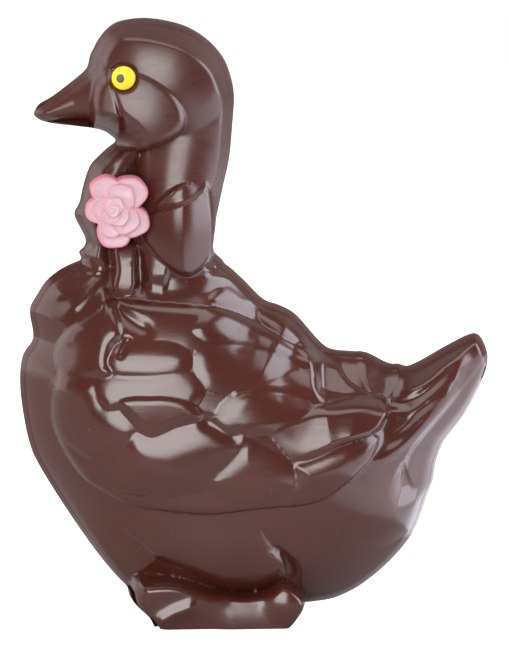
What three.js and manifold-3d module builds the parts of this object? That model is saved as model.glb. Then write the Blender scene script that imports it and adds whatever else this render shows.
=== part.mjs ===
// A moulded chocolate goose with a ribbon bow, a sugar rose on its knot and two sugar eyes.
// Millimetres, +Z up, beak towards -X, shown side towards -Y; the origin is under the middle of the body.
//
// The figure is cast in a two-part mould that parts along the plane y = 0. Each half is a relief on that
// plane: its depth is a height over every point (x, z). So the whole goose is |y| <= depth(x, z), with a
// narrow flat rim along the seam, where the mould's wall leans in by its draft.
import * as THREE from "three";
import { mergeVertices } from "three/addons/utils/BufferGeometryUtils.js";
import Module from "manifold-3d";

// ---- Driving dimensions ----
const RIM = 5; // half thickness of the rim along the seam
const RIM_AT_TIPS = 3.2; // the same at the beak's tip, which is thinner
const TIPS = { from: -44, over: 18 }; // the rim thins from this x on, over this length
const DRAFT = 1.7; // how far the mould wall leans in between the seam and the rim's edge
const SEAM_BLEND = 1.5; // rounding where the outlines of two parts meet
const BODY_DEPTH = 28.5; // half thickness of the body under the wing
const BODY_ROUNDING = 34; // distance from the rim over which the body rises to its full depth
const LARGEST_DEPTH = 34; // nothing stands higher than this
const EDGE_ROUNDING = 22; // distance from the rim over which the largest depth may be reached
const RIM_BORDER = 3; // the plumage and the folds fade out over this distance from the rim
const WING = { lift: 2.2, edge: 2.2 }; // the wing stands this much over the body, and its edge's width
const THIGH = { lift: 3.4, edge: 6, top: 36, fade: 20 }; // it fades out upwards, over a length
// The foot: the toes lean in downwards from their top, and from the heel's x on it is rounded instead.
const FOOT = {
  depth: 21.5, edge: 8.5, base: 4.5, toeTop: 12, toeSlope: 0.08, heel: -15, turn: 7, z: 5, radius: 15,
};
const CELL = 2.5; // spacing of the relief's facets
const GAP = 0.35; // clearance between the chocolate and the sugar pieces on it
const EYE = { x: -39.5, z: 164, radius: 3.6, depth: 3, bulge: 1.1, socket: 1, root: 1.2 };
const PUPIL = { shift: -0.9, radius: 1.4, thickness: 0.7, bulge: 0.25, sunk: 0.02 };
const ROSE = { x: -41.3, z: 124.35, back: 11.5, rounding: 1, backShare: 0.88, spokes: 50, rings: 10 };
// The rose's petals from the outer ring to the bud: middle from the rose's middle, radius, depth of the
// lip and depth of the cup.
const PETALS = [
  { u: -3.2, v: 6.1, radius: 4.9, lip: 16.6, cup: 1 },
  { u: 3.6, v: 5.5, radius: 5.3, lip: 16.9, cup: 1.2 },
  { u: 4.6, v: -2.9, radius: 5, lip: 17.2, cup: 1.2 },
  { u: -0.9, v: -6, radius: 5.2, lip: 16.7, cup: 1.1 },
  { u: -5.1, v: 0.4, radius: 4.4, lip: 16.5, cup: 0.9 },
  { u: 0.5, v: 4.2, radius: 4.6, lip: 18.6, cup: 1.3 },
  { u: -4.3, v: 1.4, radius: 3.8, lip: 18.2, cup: 1 },
  { u: -2, v: -3.3, radius: 4.1, lip: 18.4, cup: 1.1 },
  { u: 1.9, v: -1.9, radius: 4.5, lip: 18.8, cup: 1.3 },
  { u: -2.3, v: 0.4, radius: 3.5, lip: 20.1, cup: 1.1 },
  { u: -0.2, v: -0.4, radius: 3.6, lip: 20.3, cup: 1.2 },
  { u: -1.1, v: 2.4, radius: 2.8, lip: 20.6, cup: 1 },
  { u: -1.5, v: 1, radius: 2, lip: 21.8, cup: 0.9 },
];

// ---- Outlines of the parts in the seam plane, as [x, z] points of a closed smooth curve ----
const SEAM_OUTLINES = {
  headAndNeck: [
    [-43, 177.5], [-38.5, 179.5], [-31, 180], [-21.5, 178], [-14.5, 174], [-9.5, 168.5], [-7, 162.5],
    [-6, 156.5], [-6.5, 148.5], [-7.5, 138], [-10, 126.5], [-12.5, 112], [-9.5, 106.5], [-16.5, 98.5],
    [-34, 99], [-41, 111], [-40, 126], [-38.5, 138], [-40, 144], [-46, 150.5], [-48.5, 159],
    [-48.5, 167], [-47, 172.5],
  ],
  beak: [
    [-65, 153], [-65, 151], [-60.5, 149], [-46, 147], [-39.5, 144], [-34, 153], [-40, 168.5],
    [-47.5, 170], [-49.5, 165.5], [-54, 161.5], [-60, 157], [-63.5, 155],
  ],
  body: [
    [-53.5, 107.5], [-61, 103], [-65, 97.5], [-67, 93], [-66, 85], [-69, 80], [-70, 73.5], [-69.5, 65],
    [-67.5, 54], [-64, 45.5], [-52.5, 27], [-42.5, 13.5], [-35.5, 8], [-16.5, 2], [17, 3.5], [27.5, 6],
    [35.5, 11], [42.5, 17.5], [47.5, 24], [50.5, 31], [52.5, 38], [53.5, 45], [55.5, 52.5], [49.5, 65],
    [44.5, 75], [40, 76], [31.5, 79.5], [23.5, 80.5], [19.5, 83], [12.5, 91], [7.5, 94], [2.5, 96],
    [-4, 102.5], [-9.5, 107], [-19.5, 111], [-40, 111],
  ],
  tail: [
    [31.5, 79.5], [40, 75.5], [44.5, 75], [49, 76.5], [57, 81], [64, 84.5], [67, 84.5], [69, 81.5],
    [70, 77], [68.5, 71], [63, 60], [55.5, 49.5], [52.5, 37.5], [43.5, 34.5], [28.5, 50], [25.5, 71],
  ],
  frontLoop: [
    [-40, 143.5], [-42.5, 142.5], [-46, 139.5], [-49, 136], [-51, 130], [-52, 125.5], [-53.5, 122.5],
    [-53, 120], [-50.5, 115], [-50.5, 112.5], [-52, 109.5], [-43, 103.5], [-34, 111], [-34, 132],
    [-36.5, 141],
  ],
  foot: [
    [-38, 9], [-37.5, 6], [-35, 3.5], [-32.5, 1.5], [-31.5, -1], [-29, -6], [-10, -7], [8, -6], [12, -3],
    [13.5, 1], [15, 5], [13.5, 14], [-16.5, 17], [-36.5, 14.5],
  ],
};

// ---- Outlines of the raised forms, on the shown surface ----
const RAISED_OUTLINES = {
  head: [
    [-43, 177.5], [-38.5, 179.5], [-31, 180], [-21.5, 178], [-14.5, 174], [-9.5, 168.5], [-8, 160],
    [-12, 151], [-22, 146], [-36, 146], [-46, 150.5], [-48.5, 159], [-48.5, 167], [-47, 172.5],
  ],
  cheek: [
    [-48.5, 155], [-46, 150], [-42, 146], [-36, 143], [-30, 143.5], [-24.5, 146], [-21.5, 149.5],
    [-21, 153], [-22.5, 157.5], [-26, 162], [-32, 166], [-39.5, 167], [-46.5, 163.5],
  ],
  wing: [
    [-43.5, 98.5], [-47.5, 95.5], [-52, 92.5], [-56.5, 89], [-59.5, 84], [-60, 80], [-59, 76.5],
    [-60.5, 71], [-61, 65], [-60, 59], [-57, 52.5], [-52, 45.5], [-45, 41], [-38, 38], [-29, 37],
    [-15, 36], [-0.5, 37.5], [15.5, 39], [25, 44.5], [33, 52], [35.5, 57], [34, 59], [37.5, 62],
    [39, 65], [37, 67.5], [27.5, 72.5], [23.5, 78.5], [13, 83], [1.5, 89.5], [-11.5, 95.5], [-28, 97.5],
  ],
  nearLoop: [
    [-34.5, 116.5], [-33, 122], [-29, 128], [-24, 132], [-18.5, 133.5], [-14.5, 133.5], [-13, 130.5],
    [-12, 122], [-12, 113.5], [-13, 109], [-16, 106], [-20, 104.5], [-24, 105.5], [-28.5, 108],
    [-32, 112],
  ],
  mouth: [
    [-32, 123.5], [-28, 127.5], [-23, 131.5], [-18, 133], [-15.5, 132.5], [-17, 129.5], [-21, 127],
    [-27, 125],
  ],
  knotFold: [
    [-42.5, 113.5], [-42, 107], [-43, 101], [-39, 99], [-36, 101], [-35.7, 107], [-35.5, 114],
    [-39, 115],
  ],
  thigh: [
    [-39.5, 31], [-35, 26], [-30, 21.5], [-23.5, 19], [-16, 14.5], [-10, 10.5], [-5, 9], [1.5, 10],
    [7, 13.5], [8, 19], [6, 24], [2.5, 27], [-6, 39.5], [-24, 42.5],
  ],
  foot: [
    [-38, 8], [-37.5, 12.5], [-36, 15.5], [-29.5, 16.5], [-22.5, 16], [-16, 12], [-10, 8.5], [-3.5, 7.5],
    [3, 9.5], [6.5, 14], [11, 12], [15, 6.5], [15, 1], [12, -3], [1.5, -5], [-16.5, -8], [-26, -7],
    [-31.5, -2.5], [-36, 1.5], [-38, 4.5],
  ],
};

// ---- Gently bulging faces: the middle of the bulge, its depth and radius, how high the rounded edge
// stands and how wide it is, and how steeply the form falls away outside its outline ----
const HEAD_FACE = { x: -26, z: 161.5, depth: 16.8, radius: 36, edge: 5, width: 6, fall: 3 };
const CHEEK_FACE = { x: -31.5, z: 151, depth: 18.9, radius: 36, edge: 4, width: 3, fall: 4 };
const KNOT_FACE = { x: -35.3, z: 101, depth: 15.6, radius: 26, edge: 3, width: 2.5, fall: 3 };
// The near loop of the bow has an upright crest, and falls away from it to the knot and to the neck.
const LOOP_FACE = {
  x: -22.5, z: 120, depth: 22.5, crest: 4, toKnot: 0.65, toNeck: 0.9, height: 15, sag: 1.5, edge: 5,
  width: 2.5, fall: 5, mouth: 1.6,
};
// The body's fullness: where it is deepest, and how far it reaches to the breast, to the tail and up.
const FULLNESS = { x: -15, z: 46, depth: 29, toBreast: 64, toTail: 95, up: 66, least: 8 };
// The knob at the foot's heel, and the ridge between its toes.
const KNOB = { x: 8, z: 7, depth: 22.8, radius: 10 };
const TOE_RIDGE = { path: [[-32, 1], [-25, 5], [-17, 8]], width: 2.2, lift: 1.2 };

// ---- Round forms: a spine of [x, z] points with a radius and a depth at even steps along it ----
const RUMP = { spine: [[20, 60], [40, 62], [50, 66]], radii: [26, 19, 12], depths: [21, 15, 12] };
const TAIL = {
  spine: [[30, 44], [46, 60], [58, 73], [66, 83]], radii: [24, 17, 10, 4.5], depths: [23, 17, 11.5, 6],
};
const NECK = {
  spine: [[-31, 167], [-22, 162], [-19.5, 150], [-22, 135], [-24, 120], [-25, 106]],
  radii: [15, 15.5, 14.5, 14, 14.5, 17.5], depths: [14, 13.5, 13, 13.5, 14.5, 14.8],
};
const BEAK = {
  spine: [[-42, 159], [-56, 154.2], [-65, 151]], radii: [10.5, 5.2, 1.6], depths: [11, 6, 3.4],
  fullness: 0.62,
};
const FRONT_LOOP = {
  spine: [[-38, 140], [-47, 129], [-50, 118], [-47, 108]], radii: [5, 8.5, 8, 6], depths: [8, 11, 11, 9],
};

// ---- Feathers of the wing: outline, lift, the width over which the edge rounds off, and how much the
// lift grows for each millimetre towards the tail and upwards ----
const FEATHERS = [
  { // shoulder
    lift: 0.8, width: 5, back: 0, up: 0,
    outline: [
      [-46.5, 100.5], [-52, 93], [-57, 88.5], [-59.5, 82.5], [-59, 78], [-55, 77], [-49.5, 77],
      [-44.5, 78], [-45.5, 81.5], [-44, 86], [-41, 89.5], [-42, 95.5], [-43.5, 99.5],
    ],
  },
  { // front row
    lift: 0.9, width: 6, back: 0, up: 0,
    outline: [
      [-59.5, 74.5], [-61, 71], [-61, 65], [-59.5, 59], [-57, 55.5], [-53.5, 53], [-50, 51.5],
      [-46.5, 51.5], [-42.5, 53.5], [-39, 57], [-37.5, 60], [-37.5, 62.5], [-40, 65.5], [-43.5, 67.5],
      [-47, 68.5], [-48, 72], [-49, 75.5], [-53.5, 76],
    ],
  },
  { // first covert
    lift: 0.75, width: 4.5, back: 0, up: -0.04,
    outline: [
      [-45, 80.5], [-44, 83.5], [-40.5, 86], [-34.5, 86.5], [-26.5, 86], [-22, 84], [-21, 81],
      [-23.5, 78.5], [-30, 77.5], [-36.5, 77.5], [-42, 78],
    ],
  },
  { // second covert
    lift: 0.6, width: 3.5, back: 0, up: -0.04,
    outline: [
      [-48.5, 75.5], [-44.5, 76.5], [-36.5, 77], [-30, 77.5], [-23.5, 78], [-19, 76.5], [-17.5, 73],
      [-20, 69], [-23, 68.5], [-28.5, 69], [-37.5, 69], [-41.5, 68.5], [-44.5, 67], [-47, 69.5],
      [-48.5, 72.5],
    ],
  },
  { // leaf
    lift: 1.2, width: 3, back: 0, up: 0.05,
    outline: [
      [-41.5, 70.5], [-37.5, 71.5], [-33, 71.5], [-28.5, 71.5], [-23, 70.5], [-20, 68.5], [-18, 66],
      [-19.5, 64.5], [-25.5, 63], [-29, 61], [-32.5, 59.5], [-35.5, 61.5], [-38.5, 65], [-40.5, 67.5],
    ],
  },
  { // great covert
    lift: 1.5, width: 9, back: -0.012, up: 0,
    outline: [
      [-38, 60], [-32.5, 60], [-29, 60.5], [-24.5, 62], [-17.5, 64], [-11, 64.5], [-6.5, 62], [-4, 58],
      [-4.5, 54.5], [-7.5, 51], [-12, 48], [-19, 44], [-30, 42.5], [-37, 45], [-41, 49.5], [-41, 55.5],
    ],
  },
  { // inner covert
    lift: 1, width: 5, back: 0.07, up: 0,
    outline: [
      [-13, 65], [-11, 69], [-7, 71.5], [0.5, 72.5], [9, 71], [15, 67.5], [14.5, 65], [8.5, 62], [3, 61],
      [-2, 60.5], [-7, 60], [-11, 61],
    ],
  },
  { // long feather
    lift: 2.4, width: 6, back: 0.03, up: 0,
    outline: [
      [-4.5, 61.5], [-1, 61.5], [3.5, 62], [8.5, 63.5], [15.5, 66.5], [22.5, 67], [30, 68], [36.5, 67.5],
      [38.5, 65.5], [37, 62.5], [34.5, 59.5], [23.5, 56.5], [14.5, 52.5], [9.5, 51.5], [4.5, 53.5],
      [-1.5, 56], [-4, 58],
    ],
  },
  { // lower feather
    lift: 1.3, width: 8, back: 0, up: 0,
    outline: [
      [-4, 58], [0.5, 55.5], [4.5, 53.5], [8, 51], [9.5, 48], [9.5, 44.5], [6.5, 42], [1, 40],
      [-6.5, 40], [-13, 42.5], [-16, 46.5], [-12, 52], [-8, 56],
    ],
  },
  { // last feather
    lift: 1.3, width: 7, back: -0.03, up: 0,
    outline: [
      [10.5, 50.5], [14.5, 52], [23.5, 56], [34.5, 59], [35.5, 56], [33, 52], [30, 48.5], [26, 45.5],
      [19, 43.5], [12, 41.5], [9.5, 43], [10, 46], [10.5, 48.5],
    ],
  },
  { // back covert
    lift: 0.5, width: 5, back: -0.03, up: 0,
    outline: [
      [-18.5, 84], [-14.5, 86.5], [-6, 85.5], [2, 83.5], [7.5, 81.5], [11, 78.5], [9.5, 76.5], [3.5, 75],
      [-3, 73.5], [-10, 73], [-16, 74], [-18.5, 79],
    ],
  },
  { // small covert
    lift: 1, width: 4, back: 0, up: 0,
    outline: [
      [-7.5, 72], [-2.5, 73.5], [2.5, 75.5], [8, 76.5], [12.5, 76], [17, 73], [17, 70.5], [12.5, 69.5],
      [7, 70.5], [0.5, 72.5],
    ],
  },
  { // lower back feather
    lift: 1, width: 4, back: 0, up: 0,
    outline: [
      [-19, 90.5], [-16, 94], [-11, 94.5], [-3.5, 91], [5.5, 86.5], [14.5, 80.5], [19, 78.5], [12.5, 79],
      [7.5, 81.5], [1.5, 83.5], [-6, 85.5], [-14, 87],
    ],
  },
  { // upper back feather
    lift: 1.6, width: 3.5, back: 0, up: 0,
    outline: [
      [1.5, 91.5], [0.5, 95], [2, 96.5], [8.5, 92.5], [14.5, 88], [19.5, 82], [22, 78.5], [20, 78],
      [13, 82], [6.5, 86.5],
    ],
  },
  { // neck feather
    lift: 0.7, width: 2.5, back: 0, up: 0,
    outline: [
      [-13.5, 98.5], [-10, 100.5], [-5, 98.5], [-2.5, 96.5], [-5.5, 95.5], [-9.5, 96.5],
    ],
  },
  { // upper tip
    lift: 1, width: 2, back: 0, up: 0,
    outline: [
      [25, 69], [27, 71], [31, 71.5], [34.5, 70.5], [36.5, 69], [34.5, 68.5], [29.5, 68.5],
    ],
  },
  { // outer tip
    lift: 1, width: 2, back: 0, up: 0,
    outline: [
      [37.5, 68], [39, 69.5], [42.5, 71], [44, 70], [41.5, 68.5], [39, 67],
    ],
  },
];
const FEATHER_OVERLAP = 0.8; // each feather is this much wider than its outline

// ---- Long ridges and, with a negative lift, creases: the tail's feathers, and the folds and lines that
// part the forms ----
const TAIL_RIDGES = [
  { path: [[38.5, 66.5], [48.5, 71], [59.5, 78.5], [65, 83]], width: 1.5, lift: 1.3 },
  { path: [[40, 60.5], [50, 67.5], [60, 76.5], [65.5, 80.5]], width: 1.6, lift: 1.5 },
  { path: [[37, 56], [44.5, 61], [58.5, 72.5], [64, 78.5]], width: 1.7, lift: 1.5 },
  { path: [[33, 50], [43.5, 55.5], [54.5, 66], [62.5, 74.5]], width: 2, lift: 2 },
];
const FOLDS = [
  { path: [[-34.5, 114], [-34.4, 107], [-34.5, 99]], width: 1.2, lift: -1 },
  { path: [[-38.5, 113], [-38, 109], [-37.5, 106.5]], width: 0.8, lift: -0.9 },
  { path: [[1.7, 26.3], [7, 22.5], [9.8, 17.5], [9.8, 13]], width: 1.5, lift: -1.2 },
  { path: [[-43, 102.5], [-42.5, 98.5], [-40.5, 95], [-35.5, 91.5], [-30, 89.5]], width: 2.2, lift: -1.2 },
  { path: [[-38, 89], [-40, 85.5], [-42, 82]], width: 1, lift: -0.7 },
  { path: [[-58, 56.5], [-54.5, 54], [-50.5, 51.5], [-47, 51.5]], width: 1, lift: -0.5 },
  { path: [[-52, 47.5], [-46.5, 45], [-40.5, 43], [-33.5, 42.5], [-30, 42.5]], width: 1, lift: -0.6 },
  { path: [[-45.5, 112.5], [-49, 104.5], [-55.5, 100], [-63, 98]], width: 1.5, lift: 1.3 },
  { path: [[-43, 111.5], [-47, 103.5], [-53, 97.5], [-59, 92.5]], width: 1.8, lift: 1.2 },
  { path: [[-43, 140], [-46.5, 132.5], [-48, 126.5]], width: 2, lift: -1.2 },
];

// ---- Small tools ----
const clamp = (v, low, high) => Math.min(Math.max(v, low), high);
const ease = (t) => clamp(t, 0, 1) ** 2 * (3 - 2 * clamp(t, 0, 1));
// The larger or smaller of two values, with the corner between them rounded over a width.
function larger(a, b, width) {
  const near = Math.max(width - Math.abs(a - b), 0) / width;
  return Math.max(a, b) + near * near * width * 0.25;
}
const smaller = (a, b, width) => -larger(-a, -b, width);
// A value along a list of evenly spread stations, at s from 0 to 1.
function along(stations, s) {
  const at = clamp(s, 0, 1) * (stations.length - 1);
  const i = Math.min(Math.floor(at), stations.length - 2);
  return stations[i] + (stations[i + 1] - stations[i]) * (at - i);
}
// A smooth curve through [x, z] points, as a list of points.
function smoothCurve(points, closed, steps) {
  const knots = points.map(([x, z]) => new THREE.Vector3(x, 0, z));
  const curve = new THREE.CatmullRomCurve3(knots, closed, "catmullrom", 0.5);
  const spans = closed ? points.length : points.length - 1;
  const list = [];
  for (let i = 0; i < spans * steps + (closed ? 0 : 1); i++) {
    const p = curve.getPoint(i / (spans * steps));
    list.push([p.x, p.z]);
  }
  return list;
}
// Distance to a closed curve, positive inside.
function distanceInside(x, z, loop) {
  let best = Infinity;
  let inside = false;
  for (let i = 0, j = loop.length - 1; i < loop.length; j = i++) {
    const [ax, az] = loop[j];
    const [bx, bz] = loop[i];
    const ex = bx - ax;
    const ez = bz - az;
    const t = clamp(((x - ax) * ex + (z - az) * ez) / (ex * ex + ez * ez), 0, 1);
    best = Math.min(best, (x - ax - t * ex) ** 2 + (z - az - t * ez) ** 2);
    if (az > z !== bz > z && x < (ex * (z - az)) / ez + ax) inside = !inside;
  }
  return inside ? Math.sqrt(best) : -Math.sqrt(best);
}
// Distance to an open path, and how far along it the nearest point is, from 0 to 1.
function nearPath(x, z, path) {
  let best = Infinity;
  let where = 0;
  let walked = 0;
  for (let i = 1; i < path.length; i++) {
    const [ax, az] = path[i - 1];
    const ex = path[i][0] - ax;
    const ez = path[i][1] - az;
    const length = Math.hypot(ex, ez);
    const t = clamp(((x - ax) * ex + (z - az) * ez) / (length * length), 0, 1);
    const off = Math.hypot(x - ax - t * ex, z - az - t * ez);
    if (off < best) {
      best = off;
      where = walked + t * length;
    }
    walked += length;
  }
  return { off: best, s: where / walked };
}

// ---- Shapes of the relief, each a height over the seam plane ----
// Rises from 0 at its outline to its full lift over the given width, as a quarter round.
const cushion = (inside, lift, width) => lift * Math.sqrt(1 - (1 - clamp(inside / width, 0, 1)) ** 2);
// The same, rising at an even slope that eases off.
const pillow = (inside, lift, width) => lift * (1 - (1 - clamp(inside / width, 0, 1)) ** 2);
// A shallow bulge of even curvature.
const swell = (x, z, face) => face.depth - ((x - face.x) ** 2 + (z - face.z) ** 2) / (2 * face.radius);
// A face's rounded edge: 0 once it is up to the full height, and falling away outside the outline.
function edgeOf(inside, { edge, width, fall }) {
  return cushion(inside, edge, width) - edge + fall * Math.min(inside, 0);
}
function roundForm(x, z, form) {
  const { off, s } = nearPath(x, z, form.curve);
  const radius = along(form.radii, s);
  const q = off / radius;
  return q < 1 ? along(form.depths, s) * (1 - q * q) ** (form.fullness ?? 0.5) : -(q - 1) * radius * 2;
}
function featherLift(x, z, { curve, middle, lift, width, back, up }) {
  const grown = 1 + back * (x - middle[0]) + up * (z - middle[1]);
  return pillow(distanceInside(x, z, curve) + FEATHER_OVERLAP, lift, width) * grown;
}
// A ridge along a path; its ends run out over a quarter of its length each.
function ridge(x, z, { curve, width, lift }) {
  const { off, s } = nearPath(x, z, curve);
  return lift * ease(s * 4) * ease((1 - s) * 4) * Math.exp(-((off / width) ** 2));
}
const rimHalf = (x) => RIM - (RIM - RIM_AT_TIPS) * ease((TIPS.from - x) / TIPS.over);
// The highest that anything may stand at this distance from the seam's outline.
function edgeLimit(inside, x, depth, reach) {
  const rim = rimHalf(x);
  if (inside < DRAFT) return rim * clamp(inside / DRAFT, -8, 1);
  return rim + (depth - rim) * (1 - (1 - clamp((inside - DRAFT) / reach, 0, 1)) ** 2);
}

const closedCurves = (outlines) => Object.fromEntries(
  Object.entries(outlines).map(([name, points]) => [name, smoothCurve(points, true, 4)]),
);
const seam = closedCurves(SEAM_OUTLINES);
const raised = closedCurves(RAISED_OUTLINES);
for (const form of [RUMP, TAIL, BEAK, FRONT_LOOP, TOE_RIDGE]) form.curve = form.spine ?? form.path;
NECK.curve = smoothCurve(NECK.spine, false, 4);
for (const line of [...TAIL_RIDGES, ...FOLDS]) line.curve = smoothCurve(line.path, false, 4);
for (const feather of FEATHERS) {
  feather.curve = smoothCurve(feather.outline, true, 4);
  feather.middle = [0, 1].map((axis) => {
    const total = feather.outline.reduce((sum, point) => sum + point[axis], 0);
    return total / feather.outline.length;
  });
}

// Distance to the outline of the whole figure in the seam plane, positive inside.
function seamDistance(x, z) {
  let best = -Infinity;
  for (const loop of Object.values(seam)) {
    const d = distanceInside(x, z, loop);
    best = best === -Infinity ? d : larger(best, d, SEAM_BLEND);
  }
  return best;
}

function fullBody(x, z) {
  const across = Math.abs(x - FULLNESS.x) / (x < FULLNESS.x ? FULLNESS.toBreast : FULLNESS.toTail);
  const above = (z - FULLNESS.z) / FULLNESS.up;
  const full = FULLNESS.depth * Math.sqrt(Math.max(1 - across ** 3 - above ** 2, 0));
  return larger(full, FULLNESS.least, 6);
}

// The large forms: body, rump, tail, neck, head, beak and the bow's front loop.
function bodyForms(x, z, inside) {
  const insideBody = Math.min(distanceInside(x, z, seam.body), inside + 4);
  let h = smaller(edgeLimit(insideBody, x, BODY_DEPTH, BODY_ROUNDING), fullBody(x, z), 4);
  h = larger(h, roundForm(x, z, RUMP), 7);
  h = larger(h, roundForm(x, z, TAIL), 5);
  h = larger(h, roundForm(x, z, NECK), 4);
  h = larger(h, swell(x, z, HEAD_FACE) + edgeOf(distanceInside(x, z, raised.head), HEAD_FACE), 3);
  h = larger(h, swell(x, z, CHEEK_FACE) + edgeOf(distanceInside(x, z, raised.cheek), CHEEK_FACE), 0.6);
  h = larger(h, roundForm(x, z, BEAK), 1.6);
  return larger(h, roundForm(x, z, FRONT_LOOP), 1.5);
}

function bowLoop(x, z, insideLoop) {
  const across = (x - LOOP_FACE.x) * (x < LOOP_FACE.x ? LOOP_FACE.toKnot : LOOP_FACE.toNeck);
  const sag = ((z - LOOP_FACE.z) / LOOP_FACE.height) ** 2 * LOOP_FACE.sag;
  const mouth = cushion(distanceInside(x, z, raised.mouth), LOOP_FACE.mouth, LOOP_FACE.mouth);
  const crest = LOOP_FACE.depth - Math.hypot(LOOP_FACE.crest, across);
  return crest - sag - mouth + edgeOf(insideLoop, LOOP_FACE);
}

function footForm(x, z, insideFoot) {
  const toes = FOOT.depth - FOOT.toeSlope * (FOOT.toeTop - z);
  const heel = swell(FOOT.heel, z, { ...FOOT, x: FOOT.heel });
  const face = toes + (heel - toes) * ease((x - FOOT.heel) / FOOT.turn);
  const rise = FOOT.depth - FOOT.base;
  const edge = cushion(insideFoot, rise, FOOT.edge) - rise;
  return larger(face, swell(x, z, KNOB), 1.5) + ridge(x, z, TOE_RIDGE) + edge;
}

// Half thickness of the goose over the seam plane.
function depthAt(x, z, inside = seamDistance(x, z)) {
  const rim = edgeLimit(inside, x, rimHalf(x), 1);
  const highest = edgeLimit(inside, x, LARGEST_DEPTH, EDGE_ROUNDING);
  let h = Math.max(rim, smaller(bodyForms(x, z, inside), highest, 2));
  const clearOfRim = ease((inside - DRAFT) / RIM_BORDER);
  const insideWing = distanceInside(x, z, raised.wing);
  const plumage = Math.max(...FEATHERS.map((feather) => featherLift(x, z, feather)));
  h += clearOfRim * (cushion(insideWing, WING.lift, WING.edge) + plumage);
  for (const line of TAIL_RIDGES) {
    h += ridge(x, z, line) * ease((1.5 - insideWing) / 1.5) * ease((inside - DRAFT) / 1.5);
  }
  for (const line of FOLDS) h += ridge(x, z, line) * clearOfRim;
  const insideLoop = distanceInside(x, z, raised.nearLoop);
  if (insideLoop > -1.5 && inside > DRAFT) h = larger(h, bowLoop(x, z, insideLoop), 0.8);
  const insideFold = distanceInside(x, z, raised.knotFold);
  const knotFold = swell(x, z, KNOT_FACE) + edgeOf(insideFold, KNOT_FACE);
  if (insideFold > -1.5 && inside > DRAFT) h = larger(h, knotFold, 1.5);
  const thigh = cushion(distanceInside(x, z, raised.thigh), THIGH.lift, THIGH.edge);
  h += thigh * ease((THIGH.top - z) / THIGH.fade) * clearOfRim;
  const insideFoot = distanceInside(x, z, raised.foot);
  if (insideFoot > -2 && inside > DRAFT) h = larger(h, footForm(x, z, insideFoot), 1);
  const fromEye = Math.hypot(x - EYE.x, z - EYE.z);
  return h - EYE.socket * ease((EYE.radius + 1 - fromEye) / 1.2);
}

// ---- The relief as one closed mesh ----
function slopeOf(x, z) {
  const e = 0.05;
  const gx = (seamDistance(x + e, z) - seamDistance(x - e, z)) / (2 * e);
  const gz = (seamDistance(x, z + e) - seamDistance(x, z - e)) / (2 * e);
  const size = Math.hypot(gx, gz) || 1;
  return [gx / size, gz / size];
}
// Moves a point straight in or out until it is at the given distance inside the outline.
function settle([x, z], level) {
  for (let i = 0; i < 8; i++) {
    const miss = level - seamDistance(x, z);
    const [gx, gz] = slopeOf(x, z);
    x += miss * gx * 0.9;
    z += miss * gz * 0.9;
  }
  return [x, z];
}
// Walks once round the outline, the solid on the left, with a point every stride.
function walkOutline(start, stride) {
  const first = settle(start, 0);
  const walked = [first];
  for (let i = 0; i < 2000; i++) {
    const [x, z] = walked[walked.length - 1];
    const [gx, gz] = slopeOf(x, z);
    const next = settle([x + stride * gz, z - stride * gx], 0);
    if (walked.length > 9 && Math.hypot(next[0] - first[0], next[1] - first[1]) < stride * 0.8) break;
    walked.push(next);
  }
  return walked;
}
// A grid point close to the foot of a step in the relief moves onto it, so that the step stays crisp.
function snapToEdges([x, z], reach) {
  for (const loop of [raised.foot, raised.nearLoop, raised.cheek, raised.wing]) {
    const off = distanceInside(x, z, loop);
    if (Math.abs(off) > reach) continue;
    const e = 0.05;
    const gx = (distanceInside(x + e, z, loop) - off) / e;
    const gz = (distanceInside(x, z + e, loop) - off) / e;
    return [x - off * gx, z - off * gz];
  }
  return [x, z];
}
// The grid cells that lie clear of the rim, and the loops of grid points round them.
const FIELD = { x: -72, z: -9, width: 150, height: 196 };
function gridInside(cell, margin) {
  const columns = Math.ceil(FIELD.width / cell);
  const rows = Math.ceil(FIELD.height / cell);
  const place = (i, j) => [FIELD.x + i * cell, FIELD.z + j * cell];
  const nodeOf = (i, j) => i * (rows + 1) + j;
  const clear = [];
  for (let i = 0; i <= columns; i++) {
    for (let j = 0; j <= rows; j++) clear[nodeOf(i, j)] = seamDistance(...place(i, j)) > margin;
  }
  const cornersOf = (i, j) => [[i, j], [i + 1, j], [i + 1, j + 1], [i, j + 1]].map((at) => nodeOf(...at));
  const full = new Set();
  for (let i = 0; i < columns; i++) {
    for (let j = 0; j < rows; j++) if (cornersOf(i, j).every((node) => clear[node])) full.add(nodeOf(i, j));
  }
  // Two cells that touch only at a corner would pinch the loop there, so one of them goes.
  for (let i = 1; i < columns; i++) {
    for (let j = 1; j < rows; j++) {
      const [a, b, c, d] = cornersOf(i - 1, j - 1).map((cell) => full.has(cell));
      if (a && c && !b && !d) full.delete(nodeOf(i, j));
      if (b && d && !a && !c) full.delete(nodeOf(i, j - 1));
    }
  }
  const cells = [...full].map((id) => [Math.floor(id / (rows + 1)), id % (rows + 1)]);
  const sides = new Map();
  for (const [i, j] of cells) {
    const corners = cornersOf(i, j);
    corners.forEach((from, k) => {
      const to = corners[(k + 1) % 4];
      sides.set(`${from},${to}`, [from, to]);
    });
  }
  const next = new Map();
  for (const [from, to] of sides.values()) if (!sides.has(`${to},${from}`)) next.set(from, to);
  const rings = [];
  while (next.size) {
    const ring = [];
    for (let at = next.keys().next().value; next.has(at); ) {
      ring.push(at);
      const to = next.get(at);
      next.delete(at);
      at = to;
    }
    rings.push(ring);
  }
  const onRing = new Set(rings.flat());
  const spot = (id) => {
    const at = place(Math.floor(id / (rows + 1)), id % (rows + 1));
    return onRing.has(id) ? at : snapToEdges(at, cell * 0.45);
  };
  return { cells, cornersOf, rings, spot };
}

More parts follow.
